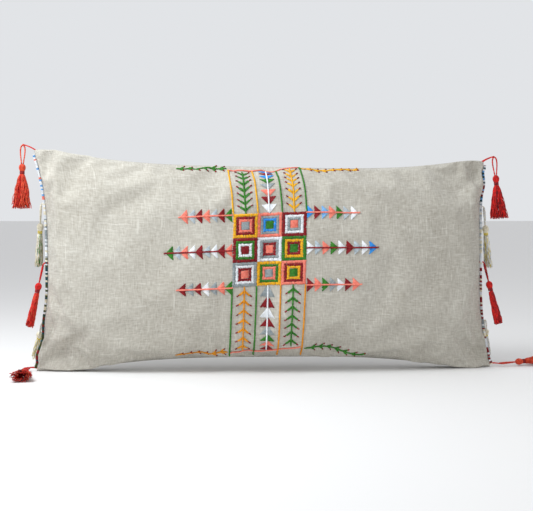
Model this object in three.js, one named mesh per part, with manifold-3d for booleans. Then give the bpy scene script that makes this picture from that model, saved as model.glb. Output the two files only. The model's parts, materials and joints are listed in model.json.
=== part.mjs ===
// An embroidered linen lumbar pillow with tassels along its short sides, standing on a long edge.
// Millimetres, +Z up. The embroidered front faces -Y, and the origin is under the middle of the base.
import * as THREE from "three";
import { mergeVertices } from "three/addons/utils/BufferGeometryUtils.js";
import Module from "manifold-3d";

const wasm = await Module();
wasm.setup();

// Cover: a front panel, and a back in two panels with a zip between them.
const COVER_WIDTH = 600; // corner to corner along the long edges
const COVER_HEIGHT = 304; // corner to corner along the short edges, before the base is pressed flat
const CROWN = 52; // half of the thickness at the middle
const SIDE_PULL = 20; // how far the short edges pull in between their corners
const TOP_PULL = 26; // how far the top edge dips between its corners
const BOTTOM_PULL = 30; // how far the bottom edge arches up between its corners
const PULL_POWER = 3.2; // a higher power keeps the pulled-in edges straighter
const WIDTH_FULLNESS = 0.85; // powers of the thickness profile, fuller when smaller
const HEIGHT_FULLNESS = 0.65;
const FOOT_PRESS = 14; // how far the weight presses the bottom corners flat
const DROOP_IN = 12; // the top right corner slumps inwards and down
const DROOP_DOWN = 13;
const LINEN = 1.2; // thickness of the cover with its lining
const SEAM_GAP = 0.3; // between the front half and the back half
const MIDDLE = COVER_HEIGHT / 2 - FOOT_PRESS; // height of the panels' middle
const SETTLED = MIDDLE / (COVER_HEIGHT / 2); // share of the lower half height left above the floor

// Layers under the cover, each inside the one before
const LAYER_GAP = 1;
const TAPE = 0.8;
const CASING = 0.8;
const FILL_GAP = 3.2;
const TAPE_INSET = LINEN + LAYER_GAP;
const CASING_INSET = TAPE_INSET + TAPE + LAYER_GAP;
const FILL_INSET = CASING_INSET + CASING + FILL_GAP;

// Zip across the back, on an arc that follows the back's curve
const PIECE_GAP = 0.4; // running clearance between small pieces
const ZIP_HEIGHT = 70;
const ZIP_HALF_LENGTH = 200;
const TAPE_WIDTH = 13;
const TAPE_LENGTH_SPARE = 12; // tape past each end of the coils
const COIL_DIAMETER = 2.4;
const COIL_SPACING = COIL_DIAMETER + 0.6; // between the centres of the two coils
const COIL_LIFT = 0.6; // from the back's outer face at the middle to the coils' underside
const STOP_LENGTH = 4;

// Zip slider and pull
const SLIDER_LENGTH = 12;
const SLIDER_PLATE = 1.1;
const SLIDER_WIDTH = COIL_SPACING + COIL_DIAMETER + 2 * (PIECE_GAP + SLIDER_PLATE);
const ZIP_OPENING = SLIDER_WIDTH + 2.6; // between the two folded panel edges
const BRIDGE_LENGTH = 6.4;
const BRIDGE_WIDTH = 2.4;
const BRIDGE_HEIGHT = 3.6;
const BRIDGE_WALL = 1.1;
const PULL_LENGTH = 27;
const PULL_THICKNESS = 1.2;
const PULL_WALL = 1.2; // beside the bridge
const PULL_WIDTH = BRIDGE_WIDTH + 2 * (PIECE_GAP + PULL_WALL);

// Embroidery pads and the edging stitched over the short seams
const THREAD_LIFT = 0.6; // from the linen to the underside of the stitches
const THREAD = 0.9;
const PATTERN_X = 2; // middle of the nine squares
const PATTERN_LIFT = 21; // how far it stands above the panels' middle
const PATTERN_Z = MIDDLE + PATTERN_LIFT;
const SQUARES = 97; // side of the block of nine squares
const BAND_TOP_MARGIN = 7; // from the band's ends to the cover's edges
const BAND_BOTTOM_MARGIN = 10;
const RAY_PITCH = 47;
const RAY_DROP = 4; // the rays sit this much lower than the squares that they start from
const RAY_HALF_WIDTH = 9;
const RAY_LENGTHS = { left: [70, 88, 73], right: [72, 94, 72] };
const RAY_TAPER = 0.8; // share of its width that a ray loses at its tip
const RAY_TAPER_POWER = 4;
const BRANCH_LENGTH = 66;
const BRANCH_WIDTH = 10;
const EDGING_DIAMETER = 4;
const EDGING_TOP = 0.95; // how much of the way to the top corner the edging reaches
const EDGING_BOTTOM = 3; // height of its lower end

// Tassels: each hangs on a loop of cord from the short seam
const TASSELS_PER_SIDE = 5;
const CORD_DIAMETER = 2.2;
const LOOP_LENGTH = 24;
const LOOP_WIDTH = 8;
const LOOP_FEET_GAP = 0.2; // between the cord's two ends, where the head binds them
const LOOP_ROUNDNESS = 0.8; // power of the loop's drop, rounder at its top when smaller
const HEAD_DIAMETER = 9;
const NECK_DIAMETER = 6.4;
const NECK_LENGTH = 4;
const HEAD_RINGS = [-45, -10, 25, 60]; // degrees above the head's middle
const SKIRT_LENGTH = 44;
const SKIRT_FLARE = 0.7; // power of the skirt's widening
const CORNER_SKIRT = { wide: 25, deep: 14 };
const SIDE_SKIRT = { wide: 20, deep: 9.5 };
const FLOOR_SKIRT = { wide: 28, deep: 15 };
const CORNER_LEAN = -10; // degrees, forwards when negative, so that neighbours hang clear of each other
const SIDE_LEAN = 15; // degrees, backwards for white ones and forwards for red ones
const TASSEL_CLEARANCE = 1; // from a hanging tassel to the edging that it lies against
const FLOOR_DIRECTIONS = { left: -84, right: 12 }; // degrees from the +X axis, for those on the floor

// Fineness of the meshes, in steps
const COLUMNS = 18; // grid of each layer of the form
const ROWS = { whole: 14, upperBack: 9, lowerBack: 5 };
const TAPE_GRID = [20, 2];
const PAD_GRIDS = { squares: [6, 6], topBand: [6, 8], bottomBand: [6, 10], ray: [8, 2], branch: [6, 3] };
const ROD_SIDES = 6;
const LONG_ROD_STEPS = 18;
const LOOP_STEPS = 12;
const TASSEL_SIDES = 10;
const SKIRT_ROWS = 5;
const EYE_SEGMENTS = 8;
const SEARCH_ROUNDS = 12;
const TILT_STEPS = 24;

const RAD = Math.PI / 180;
const QUARTER = Math.PI / 2;

const COLOURS = {
  linen: [0xc9c7bb, 0.95, 0],
  casing: [0xf0eee8, 0.9, 0],
  fibre: [0xfafafa, 1, 0],
  tape: [0xc4bca8, 0.85, 0],
  coil: [0xcfc7b4, 0.5, 0],
  metal: [0xb9b4a6, 0.35, 1],
  squares: [0x8f2a2e, 0.7, 0],
  rays: [0xd98a7a, 0.7, 0],
  bands: [0xe2b23c, 0.7, 0],
  branches: [0x3f7f2f, 0.7, 0],
  edging: [0xa8403a, 0.75, 0],
  red: [0xc8321f, 0.8, 0],
  white: [0xe9e4d6, 0.8, 0],
};

const pillow = new THREE.Group();

function add(name, geometry, colour, parent = pillow) {
  const [color, roughness, metalness] = COLOURS[colour];
  const mesh = new THREE.Mesh(geometry, new THREE.MeshStandardMaterial({ color, roughness, metalness }));
  mesh.name = name;
  parent.add(mesh);
  return mesh;
}

// ---- The pillow's form ----

const power = (value, exponent) => Math.pow(Math.max(value, 0), exponent);

// Half width at a share of the half height, and half height at a share of the half width.
function halfWidth(up, inset) {
  const towardsCorner = up > 0 ? up : Math.min(-up / SETTLED, 1);
  return COVER_WIDTH / 2 - inset - SIDE_PULL * (1 - power(towardsCorner, PULL_POWER));
}

function halfHeight(across, up, inset) {
  const pull = up > 0 ? TOP_PULL : BOTTOM_PULL;
  return COVER_HEIGHT / 2 - inset - pull * (1 - power(Math.abs(across), PULL_POWER));
}

const droop = (across, up) => power((1 + across) / 2, 3) * power(up, 2);

// How far a point at these shares of the half width and half height stands from the seam's plane.
function depthAt(across, up, inset) {
  const acrossProfile = power(1 - across * across, WIDTH_FULLNESS / 2);
  const upProfile = power(1 - up * up, HEIGHT_FULLNESS / 2);
  return SEAM_GAP / 2 + (CROWN - inset) * acrossProfile * upProfile;
}

// A point of the form, `inset` inside the cover's outer face. Side is -1 for the front and 1 for the back.
function formPoint(side, across, up, inset) {
  const slump = droop(across, up);
  const tall = halfHeight(across, up, inset);
  const z = Math.max(MIDDLE + tall * up - DROOP_DOWN * slump, inset);
  const settled = Math.max(up, (inset - MIDDLE) / tall);
  const x = halfWidth(settled, inset) * across - DROOP_IN * slump;
  return new THREE.Vector3(x, side * depthAt(across, up, inset), z);
}

// The shares of the half width and half height where the form passes over x, z.
function sharesAt(x, z, inset) {
  let across = 0;
  let up = 0;
  for (let round = 0; round < SEARCH_ROUNDS; round += 1) {
    const slump = droop(across, up);
    across = THREE.MathUtils.clamp((x + DROOP_IN * slump) / halfWidth(up, inset), -1, 1);
    const rise = z - MIDDLE + DROOP_DOWN * slump;
    up = THREE.MathUtils.clamp(rise / halfHeight(across, rise, inset), -1, 1);
  }
  return [across, up];
}

function skinDepth(x, z, inset) {
  const [across, up] = sharesAt(x, z, inset);
  return depthAt(across, up, inset);
}

// A point over the skin at x, z, lifted along the skin's normal.
function skinPoint(side, x, z, lift, inset = 0) {
  const step = PIECE_GAP;
  const slopeX = (skinDepth(x + step, z, inset) - skinDepth(x - step, z, inset)) / (2 * step);
  const slopeZ = (skinDepth(x, z + step, inset) - skinDepth(x, z - step, inset)) / (2 * step);
  const normal = new THREE.Vector3(-slopeX, side, -slopeZ).normalize();
  return new THREE.Vector3(x, side * skinDepth(x, z, inset), z).addScaledVector(normal, lift);
}

// ---- Mesh helpers ----

function geometryOf(points, triangles) {
  const geometry = new THREE.BufferGeometry();
  geometry.setAttribute("position", new THREE.Float32BufferAttribute(points.flatMap((p) => p.toArray()), 3));
  geometry.setIndex(triangles.flat());
  return geometry;
}

// A closed sheet with a thickness: two grids of points over each other, joined round their edge.
// outer(i, j) and inner(i, j) give points for i from 0 to across and j from 0 to up.
// The outer face looks towards i turned to j by the right-hand rule, or the other way when flipped.
function sheet(across, up, outer, inner, flipped) {
  const points = [];
  const triangles = [];
  const row = up + 1;
  const layer = (across + 1) * row;
  for (const grid of [outer, inner]) {
    for (let i = 0; i <= across; i += 1) {
      for (let j = 0; j <= up; j += 1) points.push(grid(i, j));
    }
  }
  const quad = (a, b, c, d) => {
    const corners = flipped ? [d, c, b, a] : [a, b, c, d];
    triangles.push([corners[0], corners[1], corners[2]], [corners[0], corners[2], corners[3]]);
  };
  for (let i = 0; i < across; i += 1) {
    for (let j = 0; j < up; j += 1) {
      const a = i * row + j;
      quad(a, a + row, a + row + 1, a + 1);
      quad(layer + a + 1, layer + a + row + 1, layer + a + row, layer + a);
    }
    const low = i * row;
    const high = low + up;
    quad(low, low + layer, low + row + layer, low + row);
    quad(high + row, high + row + layer, high + layer, high);
  }
  for (let j = 0; j < up; j += 1) {
    const right = across * row + j;
    quad(j + 1, j + 1 + layer, j + layer, j);
    quad(right, right + layer, right + 1 + layer, right + 1);
  }
  return geometryOf(points, triangles);
}

const spread = (index, count, low, high) => low + ((high - low) * index) / count;

// One half of a shell of the form, between two insets. lowAngle and highAngle give its lower and upper
// limits for a column, as angles whose sines are shares of the half height.
function halfShell(side, outerInset, innerInset, columns, rows, lowAngle, highAngle) {
  const at = (inset) => (i, j) => {
    const across = Math.sin(spread(i, columns, -QUARTER, QUARTER));
    const up = Math.sin(spread(j, rows, lowAngle(across, inset), highAngle(across, inset)));
    return formPoint(side, across, up, inset);
  };
  return sheet(columns, rows, at(outerInset), at(innerInset), side > 0);
}

const bottomAngle = () => -QUARTER;
const topAngle = () => QUARTER;

// The angle at which a column of the lower half reaches a height.
const angleAtHeight = (height) => (across, inset) =>
  Math.asin((height - MIDDLE) / halfHeight(across, -1, inset));

// A thin pad that follows the skin over a patch of x, z. xAt(s) runs along it for s from 0 to 1,
// and zAt(s, t) across it for t from 0 to 1.
function pad(side, lift, thickness, [along, wide], xAt, zAt, inset = 0) {
  const at = (height) => (i, j) => {
    const s = i / along;
    return skinPoint(side, xAt(s), zAt(s, j / wide), height, inset);
  };
  return sheet(along, wide, at(lift + thickness), at(lift), side > 0);
}

function tube(curve, diameter, steps) {
  const section = new THREE.Shape();
  for (let k = 0; k < ROD_SIDES; k += 1) {
    const angle = (2 * Math.PI * k) / ROD_SIDES;
    const x = (Math.cos(angle) * diameter) / 2;
    const y = (Math.sin(angle) * diameter) / 2;
    if (k === 0) section.moveTo(x, y);
    else section.lineTo(x, y);
  }
  return new THREE.ExtrudeGeometry(section, { steps, bevelEnabled: false, extrudePath: curve });
}

function solidOf(geometry) {
  const bare = geometry.clone();
  bare.deleteAttribute("normal");
  bare.deleteAttribute("uv");
  const merged = mergeVertices(bare, 1e-3);
  const vertProperties = new Float32Array(merged.attributes.position.array);
  const triVerts = new Uint32Array(merged.index.array);
  return new wasm.Manifold(new wasm.Mesh({ numProp: 3, vertProperties, triVerts }));
}

function geometryOfSolid(solid) {
  const mesh = solid.getMesh();
  const geometry = new THREE.BufferGeometry();
  geometry.setAttribute("position", new THREE.BufferAttribute(new Float32Array(mesh.vertProperties), 3));
  geometry.setIndex(new THREE.BufferAttribute(new Uint32Array(mesh.triVerts), 1));
  return geometry;
}

const join = (first, second) => geometryOfSolid(solidOf(first).add(solidOf(second)));

// ---- Cover and inner cushion ----

function addCover() {
  const upperEdge = angleAtHeight(ZIP_HEIGHT + ZIP_OPENING / 2);
  const lowerEdge = angleAtHeight(ZIP_HEIGHT - ZIP_OPENING / 2);
  add("front_panel", halfShell(-1, 0, LINEN, COLUMNS, ROWS.whole, bottomAngle, topAngle), "linen");
  add("upper_back_panel", halfShell(1, 0, LINEN, COLUMNS, ROWS.upperBack, upperEdge, topAngle), "linen");
  add("lower_back_panel", halfShell(1, 0, LINEN, COLUMNS, ROWS.lowerBack, bottomAngle, lowerEdge), "linen");
}

function addInnerCushion() {
  const casing = (side) =>
    halfShell(side, CASING_INSET, CASING_INSET + CASING, COLUMNS, ROWS.whole, bottomAngle, topAngle);
  add("insert_front_casing", casing(-1), "casing");
  add("insert_back_casing", casing(1), "casing");
  const face = (side) => (i, j) => {
    const across = Math.sin(spread(i, COLUMNS, -QUARTER, QUARTER));
    return formPoint(side, across, Math.sin(spread(j, ROWS.whole, -QUARTER, QUARTER)), FILL_INSET);
  };
  add("fibre_fill", sheet(COLUMNS, ROWS.whole, face(-1), face(1), false), "fibre");
}

// ---- Zip ----

// The arc through the back's skin at the zip's height, lifted clear: its radius and its centre's y.
function zipArc() {
  const middle = skinDepth(0, ZIP_HEIGHT, 0);
  const end = skinDepth(ZIP_HALF_LENGTH, ZIP_HEIGHT, 0);
  const sagitta = middle - end;
  const radius = (ZIP_HALF_LENGTH ** 2 + sagitta ** 2) / (2 * sagitta);
  return { radius, centre: middle + COIL_LIFT - radius };
}

const ARC = zipArc();
const SLIDER_REST = ZIP_HALF_LENGTH - SLIDER_LENGTH; // how far left of the middle the closed slider sits

// A point at a distance along the zip from the middle, lifted from the coils' underside.
function arcPoint(along, z, lift) {
  const angle = along / ARC.radius;
  const reach = ARC.radius + lift;
  return new THREE.Vector3(Math.sin(angle) * reach, ARC.centre + Math.cos(angle) * reach, z);
}

class ZipCurve extends THREE.Curve {
  constructor(z, lift) {
    super();
    this.z = z;
    this.lift = lift;
  }

  getPoint(t) {
    return arcPoint(spread(t, 1, -ZIP_HALF_LENGTH, ZIP_HALF_LENGTH), this.z, this.lift);
  }
}

// A frame on the zip: X along it to the right, Y out of the back, Z up.
function zipFrame(along) {
  const frame = new THREE.Group();
  frame.position.copy(arcPoint(along, ZIP_HEIGHT, 0));
  frame.rotation.z = -along / ARC.radius;
  pillow.add(frame);
  return frame;
}

function addTapes() {
  const reach = ZIP_HALF_LENGTH + TAPE_LENGTH_SPARE;
  for (const [name, sign] of [["upper_zip_tape", 1], ["lower_zip_tape", -1]]) {
    const near = ZIP_HEIGHT + sign * PIECE_GAP;
    const far = ZIP_HEIGHT + sign * TAPE_WIDTH;
    const xAt = (s) => spread(s, 1, -reach, reach);
    const zAt = (s, t) => spread(t, 1, Math.min(near, far), Math.max(near, far));
    add(name, pad(1, -TAPE, TAPE, TAPE_GRID, xAt, zAt, TAPE_INSET), "tape");
  }
}

function addCoils() {
  const lift = COIL_DIAMETER / 2;
  for (const [name, sign] of [["upper_zip_coil", 1], ["lower_zip_coil", -1]]) {
    const curve = new ZipCurve(ZIP_HEIGHT + (sign * COIL_SPACING) / 2, lift);
    add(name, tube(curve, COIL_DIAMETER, LONG_ROD_STEPS), "coil");
  }
}

function addStops() {
  for (const [name, sign] of [["zip_top_stop", -1], ["zip_bottom_stop", 1]]) {
    const frame = zipFrame(sign * (ZIP_HALF_LENGTH + PIECE_GAP + STOP_LENGTH / 2));
    const height = COIL_DIAMETER;
    const stop = new THREE.BoxGeometry(STOP_LENGTH, height, COIL_SPACING + COIL_DIAMETER);
    add(name, stop, "metal", frame).position.y = height / 2;
  }
}

// The slider: a plate with two flanges beside the coils, and a bridge that holds the pull.
function sliderGeometry() {
  const half = SLIDER_WIDTH / 2;
  const inside = half - SLIDER_PLATE;
  const roof = COIL_DIAMETER + PIECE_GAP;
  const top = roof + SLIDER_PLATE;
  const channel = new THREE.Shape();
  channel.moveTo(-half, PIECE_GAP);
  channel.lineTo(-inside, PIECE_GAP);
  channel.lineTo(-inside, roof);
  channel.lineTo(inside, roof);
  channel.lineTo(inside, PIECE_GAP);
  channel.lineTo(half, PIECE_GAP);
  channel.lineTo(half, top);
  channel.lineTo(-half, top);
  const body = new THREE.ExtrudeGeometry(channel, { depth: SLIDER_LENGTH, bevelEnabled: false });
  body.translate(0, 0, -SLIDER_LENGTH / 2);
  body.rotateY(QUARTER);

  const arch = new THREE.Shape();
  const end = BRIDGE_LENGTH / 2;
  const legs = end - BRIDGE_WALL;
  const sunk = SLIDER_PLATE / 2;
  arch.moveTo(-end, top - sunk);
  arch.lineTo(-legs, top - sunk);
  arch.lineTo(-legs, top + BRIDGE_HEIGHT - BRIDGE_WALL);
  arch.lineTo(legs, top + BRIDGE_HEIGHT - BRIDGE_WALL);
  arch.lineTo(legs, top - sunk);
  arch.lineTo(end, top - sunk);
  arch.lineTo(end, top + BRIDGE_HEIGHT);
  arch.lineTo(-end, top + BRIDGE_HEIGHT);
  const bridge = new THREE.ExtrudeGeometry(arch, { depth: BRIDGE_WIDTH, bevelEnabled: false });
  bridge.translate(0, 0, -BRIDGE_WIDTH / 2);
  return join(body, bridge);
}

// How high the pull's bar sits over the plate, and over the coils' underside.
const BAR_HEIGHT = (BRIDGE_HEIGHT - BRIDGE_WALL) / 2;
const PULL_HEIGHT = COIL_DIAMETER + PIECE_GAP + SLIDER_PLATE + BAR_HEIGHT;

// The pull: a flat tab with an eye round the bridge, its bar passing under the bridge.
function pullGeometry() {
  const half = PULL_WIDTH / 2;
  const bar = PULL_THICKNESS / 2;
  const eyeHalf = BRIDGE_WIDTH / 2 + PIECE_GAP;
  const eyeEnd = Math.hypot(BRIDGE_LENGTH / 2, BRIDGE_HEIGHT - BAR_HEIGHT) + PIECE_GAP;
  const outline = new THREE.Shape();
  outline.moveTo(-bar, -half);
  outline.lineTo(PULL_LENGTH - half, -half);
  outline.absarc(PULL_LENGTH - half, 0, half, -QUARTER, QUARTER);
  outline.lineTo(-bar, half);
  const eye = new THREE.Path();
  eye.moveTo(bar, -eyeHalf);
  eye.lineTo(bar, eyeHalf);
  eye.lineTo(eyeEnd, eyeHalf);
  eye.lineTo(eyeEnd, -eyeHalf);
  outline.holes.push(eye);
  const tab = new THREE.ExtrudeGeometry(outline, {
    depth: PULL_THICKNESS,
    bevelEnabled: false,
    curveSegments: EYE_SEGMENTS,
  });
  tab.translate(0, 0, -PULL_THICKNESS / 2);
  tab.rotateX(QUARTER);
  return tab;
}

function addZip() {
  addTapes();
  addCoils();
  addStops();
  const frame = zipFrame(-SLIDER_REST);
  add("zip_slider", sliderGeometry(), "metal", frame);
  add("zip_pull", pullGeometry(), "metal", frame).position.y = PULL_HEIGHT;
}

// ---- Embroidery ----

const embroider = (name, grid, xAt, zAt, colour) =>
  add(name, pad(-1, THREAD_LIFT, THREAD, grid, xAt, zAt), colour);

const topEdge = (x) => formPoint(-1, sharesAt(x, MIDDLE, 0)[0], 1, 0).z;
const bottomEdge = (x) => formPoint(-1, sharesAt(x, MIDDLE, 0)[0], -1, 0).z;

// The block of nine squares, and the bands of leafy columns that run from it over the top and bottom.
function addBlockAndBands() {
  const half = SQUARES / 2;
  const gap = THREAD;
  const xAt = (s) => PATTERN_X + spread(s, 1, -half, half);
  const blockZ = (s, t) => PATTERN_Z + spread(t, 1, -half, half);
  const upperZ = (s, t) => spread(t, 1, PATTERN_Z + half + gap, topEdge(xAt(s)) - BAND_TOP_MARGIN);
  const lowerZ = (s, t) => spread(t, 1, bottomEdge(xAt(s)) + BAND_BOTTOM_MARGIN, PATTERN_Z - half - gap);
  embroider("embroidered_squares", PAD_GRIDS.squares, xAt, blockZ, "squares");
  embroider("embroidered_top_band", PAD_GRIDS.topBand, xAt, upperZ, "bands");
  embroider("embroidered_bottom_band", PAD_GRIDS.bottomBand, xAt, lowerZ, "bands");
}

// The rays of satin triangles, three on each side of the squares, pointed at their outer ends.
function addRays() {
  const half = SQUARES / 2;
  const rows = ["top", "middle", "bottom"];
  for (const [side, sign] of [["left", -1], ["right", 1]]) {
    rows.forEach((row, index) => {
      const length = RAY_LENGTHS[side][index];
      const z = PATTERN_Z - RAY_DROP + (1 - index) * RAY_PITCH;
      const start = sign * (half + THREAD);
      const reach = (s) => PATTERN_X + start + sign * length * (sign > 0 ? s : 1 - s);
      const width = (s) => RAY_HALF_WIDTH * (1 - RAY_TAPER * power(sign > 0 ? s : 1 - s, RAY_TAPER_POWER));
      const zAt = (s, t) => z + spread(t, 1, -width(s), width(s));
      embroider(`embroidered_ray_${side}_${row}`, PAD_GRIDS.ray, reach, zAt, "rays");
    });
  }
}

// The leafy branches that lie along the top and bottom edges on both sides of the bands.
function addBranches() {
  const start = SQUARES / 2 + THREAD;
  for (const [side, sign] of [["left", -1], ["right", 1]]) {
    const near = PATTERN_X + sign * start;
    const far = near + sign * BRANCH_LENGTH;
    const xAt = (s) => spread(s, 1, Math.min(near, far), Math.max(near, far));
    const topZ = (s, t) => topEdge(xAt(s)) - BAND_TOP_MARGIN - BRANCH_WIDTH * (1 - t);
    const bottomZ = (s, t) => bottomEdge(xAt(s)) + BAND_BOTTOM_MARGIN + BRANCH_WIDTH * t;
    embroider(`embroidered_branch_${side}_top`, PAD_GRIDS.branch, xAt, topZ, "branches");
    embroider(`embroidered_branch_${side}_bottom`, PAD_GRIDS.branch, xAt, bottomZ, "branches");
  }
}

// ---- Side edging ----

// A line that runs a distance outside a short seam, from one end of the edging to the other.
class SeamCurve extends THREE.Curve {
  constructor(sign, distance) {
    super();
    this.sign = sign;
    this.distance = distance;
  }

  getPoint(t) {
    const bottom = (EDGING_BOTTOM - MIDDLE) / (COVER_HEIGHT / 2);
    const up = Math.sin(spread(t, 1, Math.asin(bottom), Math.asin(EDGING_TOP)));
    const point = formPoint(1, this.sign, up, 0);
    return new THREE.Vector3(point.x + this.sign * this.distance, 0, point.z);
  }
}

const EDGING_OUT = EDGING_DIAMETER / 2 + PIECE_GAP;

function addEdging() {
  for (const [name, sign] of [["left_side_edging", -1], ["right_side_edging", 1]]) {
    const curve = new SeamCurve(sign, EDGING_OUT);
    add(name, tube(curve, EDGING_DIAMETER, LONG_ROD_STEPS), "edging");
  }
}

// ---- Tassels ----

// The loop of cord, from the head up round the seam's stitch and back, hanging down from the origin.
class LoopCurve extends THREE.Curve {
  getPoint(t) {
    const turn = Math.PI * (1 - t);
    const spreadOut = (Math.sin(turn) * LOOP_WIDTH + CORD_DIAMETER + LOOP_FEET_GAP) / 2;
    const lateral = Math.cos(turn) * spreadOut;
    const drop = LOOP_LENGTH * (1 - power(Math.sin(turn), LOOP_ROUNDNESS));
    return new THREE.Vector3(lateral, 0, -CORD_DIAMETER / 2 - drop);
  }
}

function headGeometry() {
  const radius = HEAD_DIAMETER / 2;
  const neck = NECK_DIAMETER / 2;
  const profile = [new THREE.Vector2(0, -HEAD_DIAMETER - NECK_LENGTH)];
  profile.push(new THREE.Vector2(neck, -HEAD_DIAMETER - NECK_LENGTH));
  for (const degrees of HEAD_RINGS) {
    const angle = degrees * RAD;
    profile.push(new THREE.Vector2(radius * Math.cos(angle), radius * (Math.sin(angle) - 1)));
  }
  profile.push(new THREE.Vector2(0, 0));
  return new THREE.LatheGeometry(profile, TASSEL_SIDES);
}

// The skirt of cut threads: narrow under the neck, swelling towards its flat end.
function skirtGeometry({ wide, deep }) {
  const top = NECK_DIAMETER / 2;
  const profile = [new THREE.Vector2(0, -SKIRT_LENGTH)];
  for (let k = 0; k <= SKIRT_ROWS; k += 1) {
    profile.push(new THREE.Vector2(1, spread(k, SKIRT_ROWS, -SKIRT_LENGTH, 0)));
  }
  profile.push(new THREE.Vector2(0, 0));
  const skirt = new THREE.LatheGeometry(profile, TASSEL_SIDES);
  const positions = skirt.attributes.position;
  for (let k = 0; k < positions.count; k += 1) {
    const down = -positions.getY(k) / SKIRT_LENGTH;
    const flare = power(down, SKIRT_FLARE);
    positions.setX(k, positions.getX(k) * THREE.MathUtils.lerp(top, wide / 2, flare));
    positions.setZ(k, positions.getZ(k) * THREE.MathUtils.lerp(top, deep / 2, flare));
  }
  return skirt;
}

// A frame at a point whose -Z runs down the tassel and whose X runs across its wide way.
function tasselFrame(origin, down, wide) {
  const up = down.clone().negate().normalize();
  const depth = new THREE.Vector3().crossVectors(up, wide).normalize();
  const width = new THREE.Vector3().crossVectors(depth, up);
  const frame = new THREE.Group();
  frame.position.copy(origin);
  frame.quaternion.setFromRotationMatrix(new THREE.Matrix4().makeBasis(width, depth, up));
  pillow.add(frame);
  return frame;
}

// One tassel, hanging down from the frame's origin.
function addTassel(name, frame, colour, skirt) {
  add(`${name}_loop`, tube(new LoopCurve(), CORD_DIAMETER, LOOP_STEPS), colour, frame);
  const upright = new THREE.Group();
  upright.rotation.x = QUARTER;
  upright.position.z = -HEAD_TOP;
  frame.add(upright);
  add(`${name}_head`, headGeometry(), colour, upright);
  add(`${name}_skirt`, skirtGeometry(skirt), colour, upright).position.y = HEAD_TOP - SKIRT_TOP;
}

// Distances down a tassel from the point that it hangs from.
const HEAD_TOP = LOOP_LENGTH + CORD_DIAMETER / 2 + PIECE_GAP;
const SKIRT_TOP = HEAD_TOP + HEAD_DIAMETER + NECK_LENGTH + PIECE_GAP;
const SKIRT_END = SKIRT_TOP + SKIRT_LENGTH;

// How far the edging's outer face stands from the middle, on one side, at a height.
function edgingReach(sign, height) {
  const up = THREE.MathUtils.clamp((height - MIDDLE) / (COVER_HEIGHT / 2), -SETTLED, 1);
  return sign * formPoint(1, sign, up, 0).x + EDGING_OUT + EDGING_DIAMETER / 2;
}

// The smallest outward tilt that keeps a tassel clear of the edging all the way down its length.
function clearTilt(sign, origin, lean, halves) {
  let tilt = 0;
  for (let k = 1; k <= TILT_STEPS; k += 1) {
    const down = (SKIRT_END * k) / TILT_STEPS;
    const height = Math.max(origin.z - down * Math.cos(lean), 0);
    const half = down < HEAD_TOP ? halves.loop : Math.max(HEAD_DIAMETER / 2, halves.skirt);
    const needed = edgingReach(sign, height) + TASSEL_CLEARANCE + half - sign * origin.x;
    tilt = Math.max(tilt, Math.atan2(needed, down));
  }
  return tilt;
}

// Where a tassel's loop leaves the seam, just outside the edging.
function seamPoint(sign, up, loopHalf) {
  const point = formPoint(1, sign, up, 0);
  const out = EDGING_OUT + EDGING_DIAMETER / 2 + PIECE_GAP + loopHalf;
  return new THREE.Vector3(point.x + sign * out, 0, point.z);
}

// A tassel that hangs beside the pillow. Those that face the front show their wide way to it.
function hangTassel(name, sign, up, lean, colour, skirt, facing) {
  const loopHalf = facing ? (LOOP_WIDTH + CORD_DIAMETER) / 2 : CORD_DIAMETER / 2;
  const origin = seamPoint(sign, up, loopHalf);
  const skirtHalf = (facing ? skirt.wide : skirt.deep) / 2;
  const tilt = clearTilt(sign, origin, lean, { loop: loopHalf, skirt: skirtHalf });
  const down = new THREE.Vector3(sign * Math.tan(tilt), Math.sin(lean), -Math.cos(lean));
  const wide = facing ? new THREE.Vector3(1, 0, 0) : new THREE.Vector3(0, 1, 0);
  addTassel(name, tasselFrame(origin, down, wide), colour, skirt);
}

// How far back a tassel leans from a point of the seam so that its end comes down on the floor.
function leanToFloor(height, skirt) {
  return Math.acos(Math.min((height - skirt.wide / 2) / SKIRT_END, 1));
}

// A tassel that lies on the floor from a bottom corner, pointing along a direction in degrees from +X.
function layTassel(name, sign, degrees, colour, skirt) {
  const origin = seamPoint(sign, -1, CORD_DIAMETER);
  origin.z = HEAD_DIAMETER / 2;
  const rise = Math.atan((skirt.deep / 2 + PIECE_GAP - origin.z) / SKIRT_END);
  const angle = degrees * RAD;
  const down = new THREE.Vector3(Math.cos(angle), Math.sin(angle), Math.tan(rise));
  const wide = new THREE.Vector3(-Math.sin(angle), Math.cos(angle), 0);
  addTassel(name, tasselFrame(origin, down, wide), colour, skirt);
}

function addTassels() {
  const last = TASSELS_PER_SIDE - 1;
  for (const [side, sign] of [["left", -1], ["right", 1]]) {
    const name = (index) => `${side}_tassel_${index + 1}`;
    hangTassel(name(0), sign, 1, CORNER_LEAN * RAD, "red", CORNER_SKIRT, true);
    for (let index = 1; index < last; index += 1) {
      const up = 1 - (2 * index) / last;
      const white = index % 2 === 1;
      const height = formPoint(1, sign, up, 0).z;
      const hanging = (white ? 1 : -1) * SIDE_LEAN * RAD;
      const lean = height < SKIRT_END ? leanToFloor(height, SIDE_SKIRT) : hanging;
      hangTassel(name(index), sign, up, lean, white ? "white" : "red", SIDE_SKIRT, false);
    }
    layTassel(name(last), sign, FLOOR_DIRECTIONS[side], "red", FLOOR_SKIRT);
  }
}

addCover();
addInnerCushion();
addZip();
addBlockAndBands();
addRays();
addBranches();
addEdging();
addTassels();

// The origin stands under the middle of the whole piece's box, tassels included.
const box = new THREE.Box3().setFromObject(pillow, true);
const centre = box.getCenter(new THREE.Vector3());
pillow.position.set(-centre.x, -centre.y, -box.min.z);

export default pillow;
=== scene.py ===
import json
import math

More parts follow.
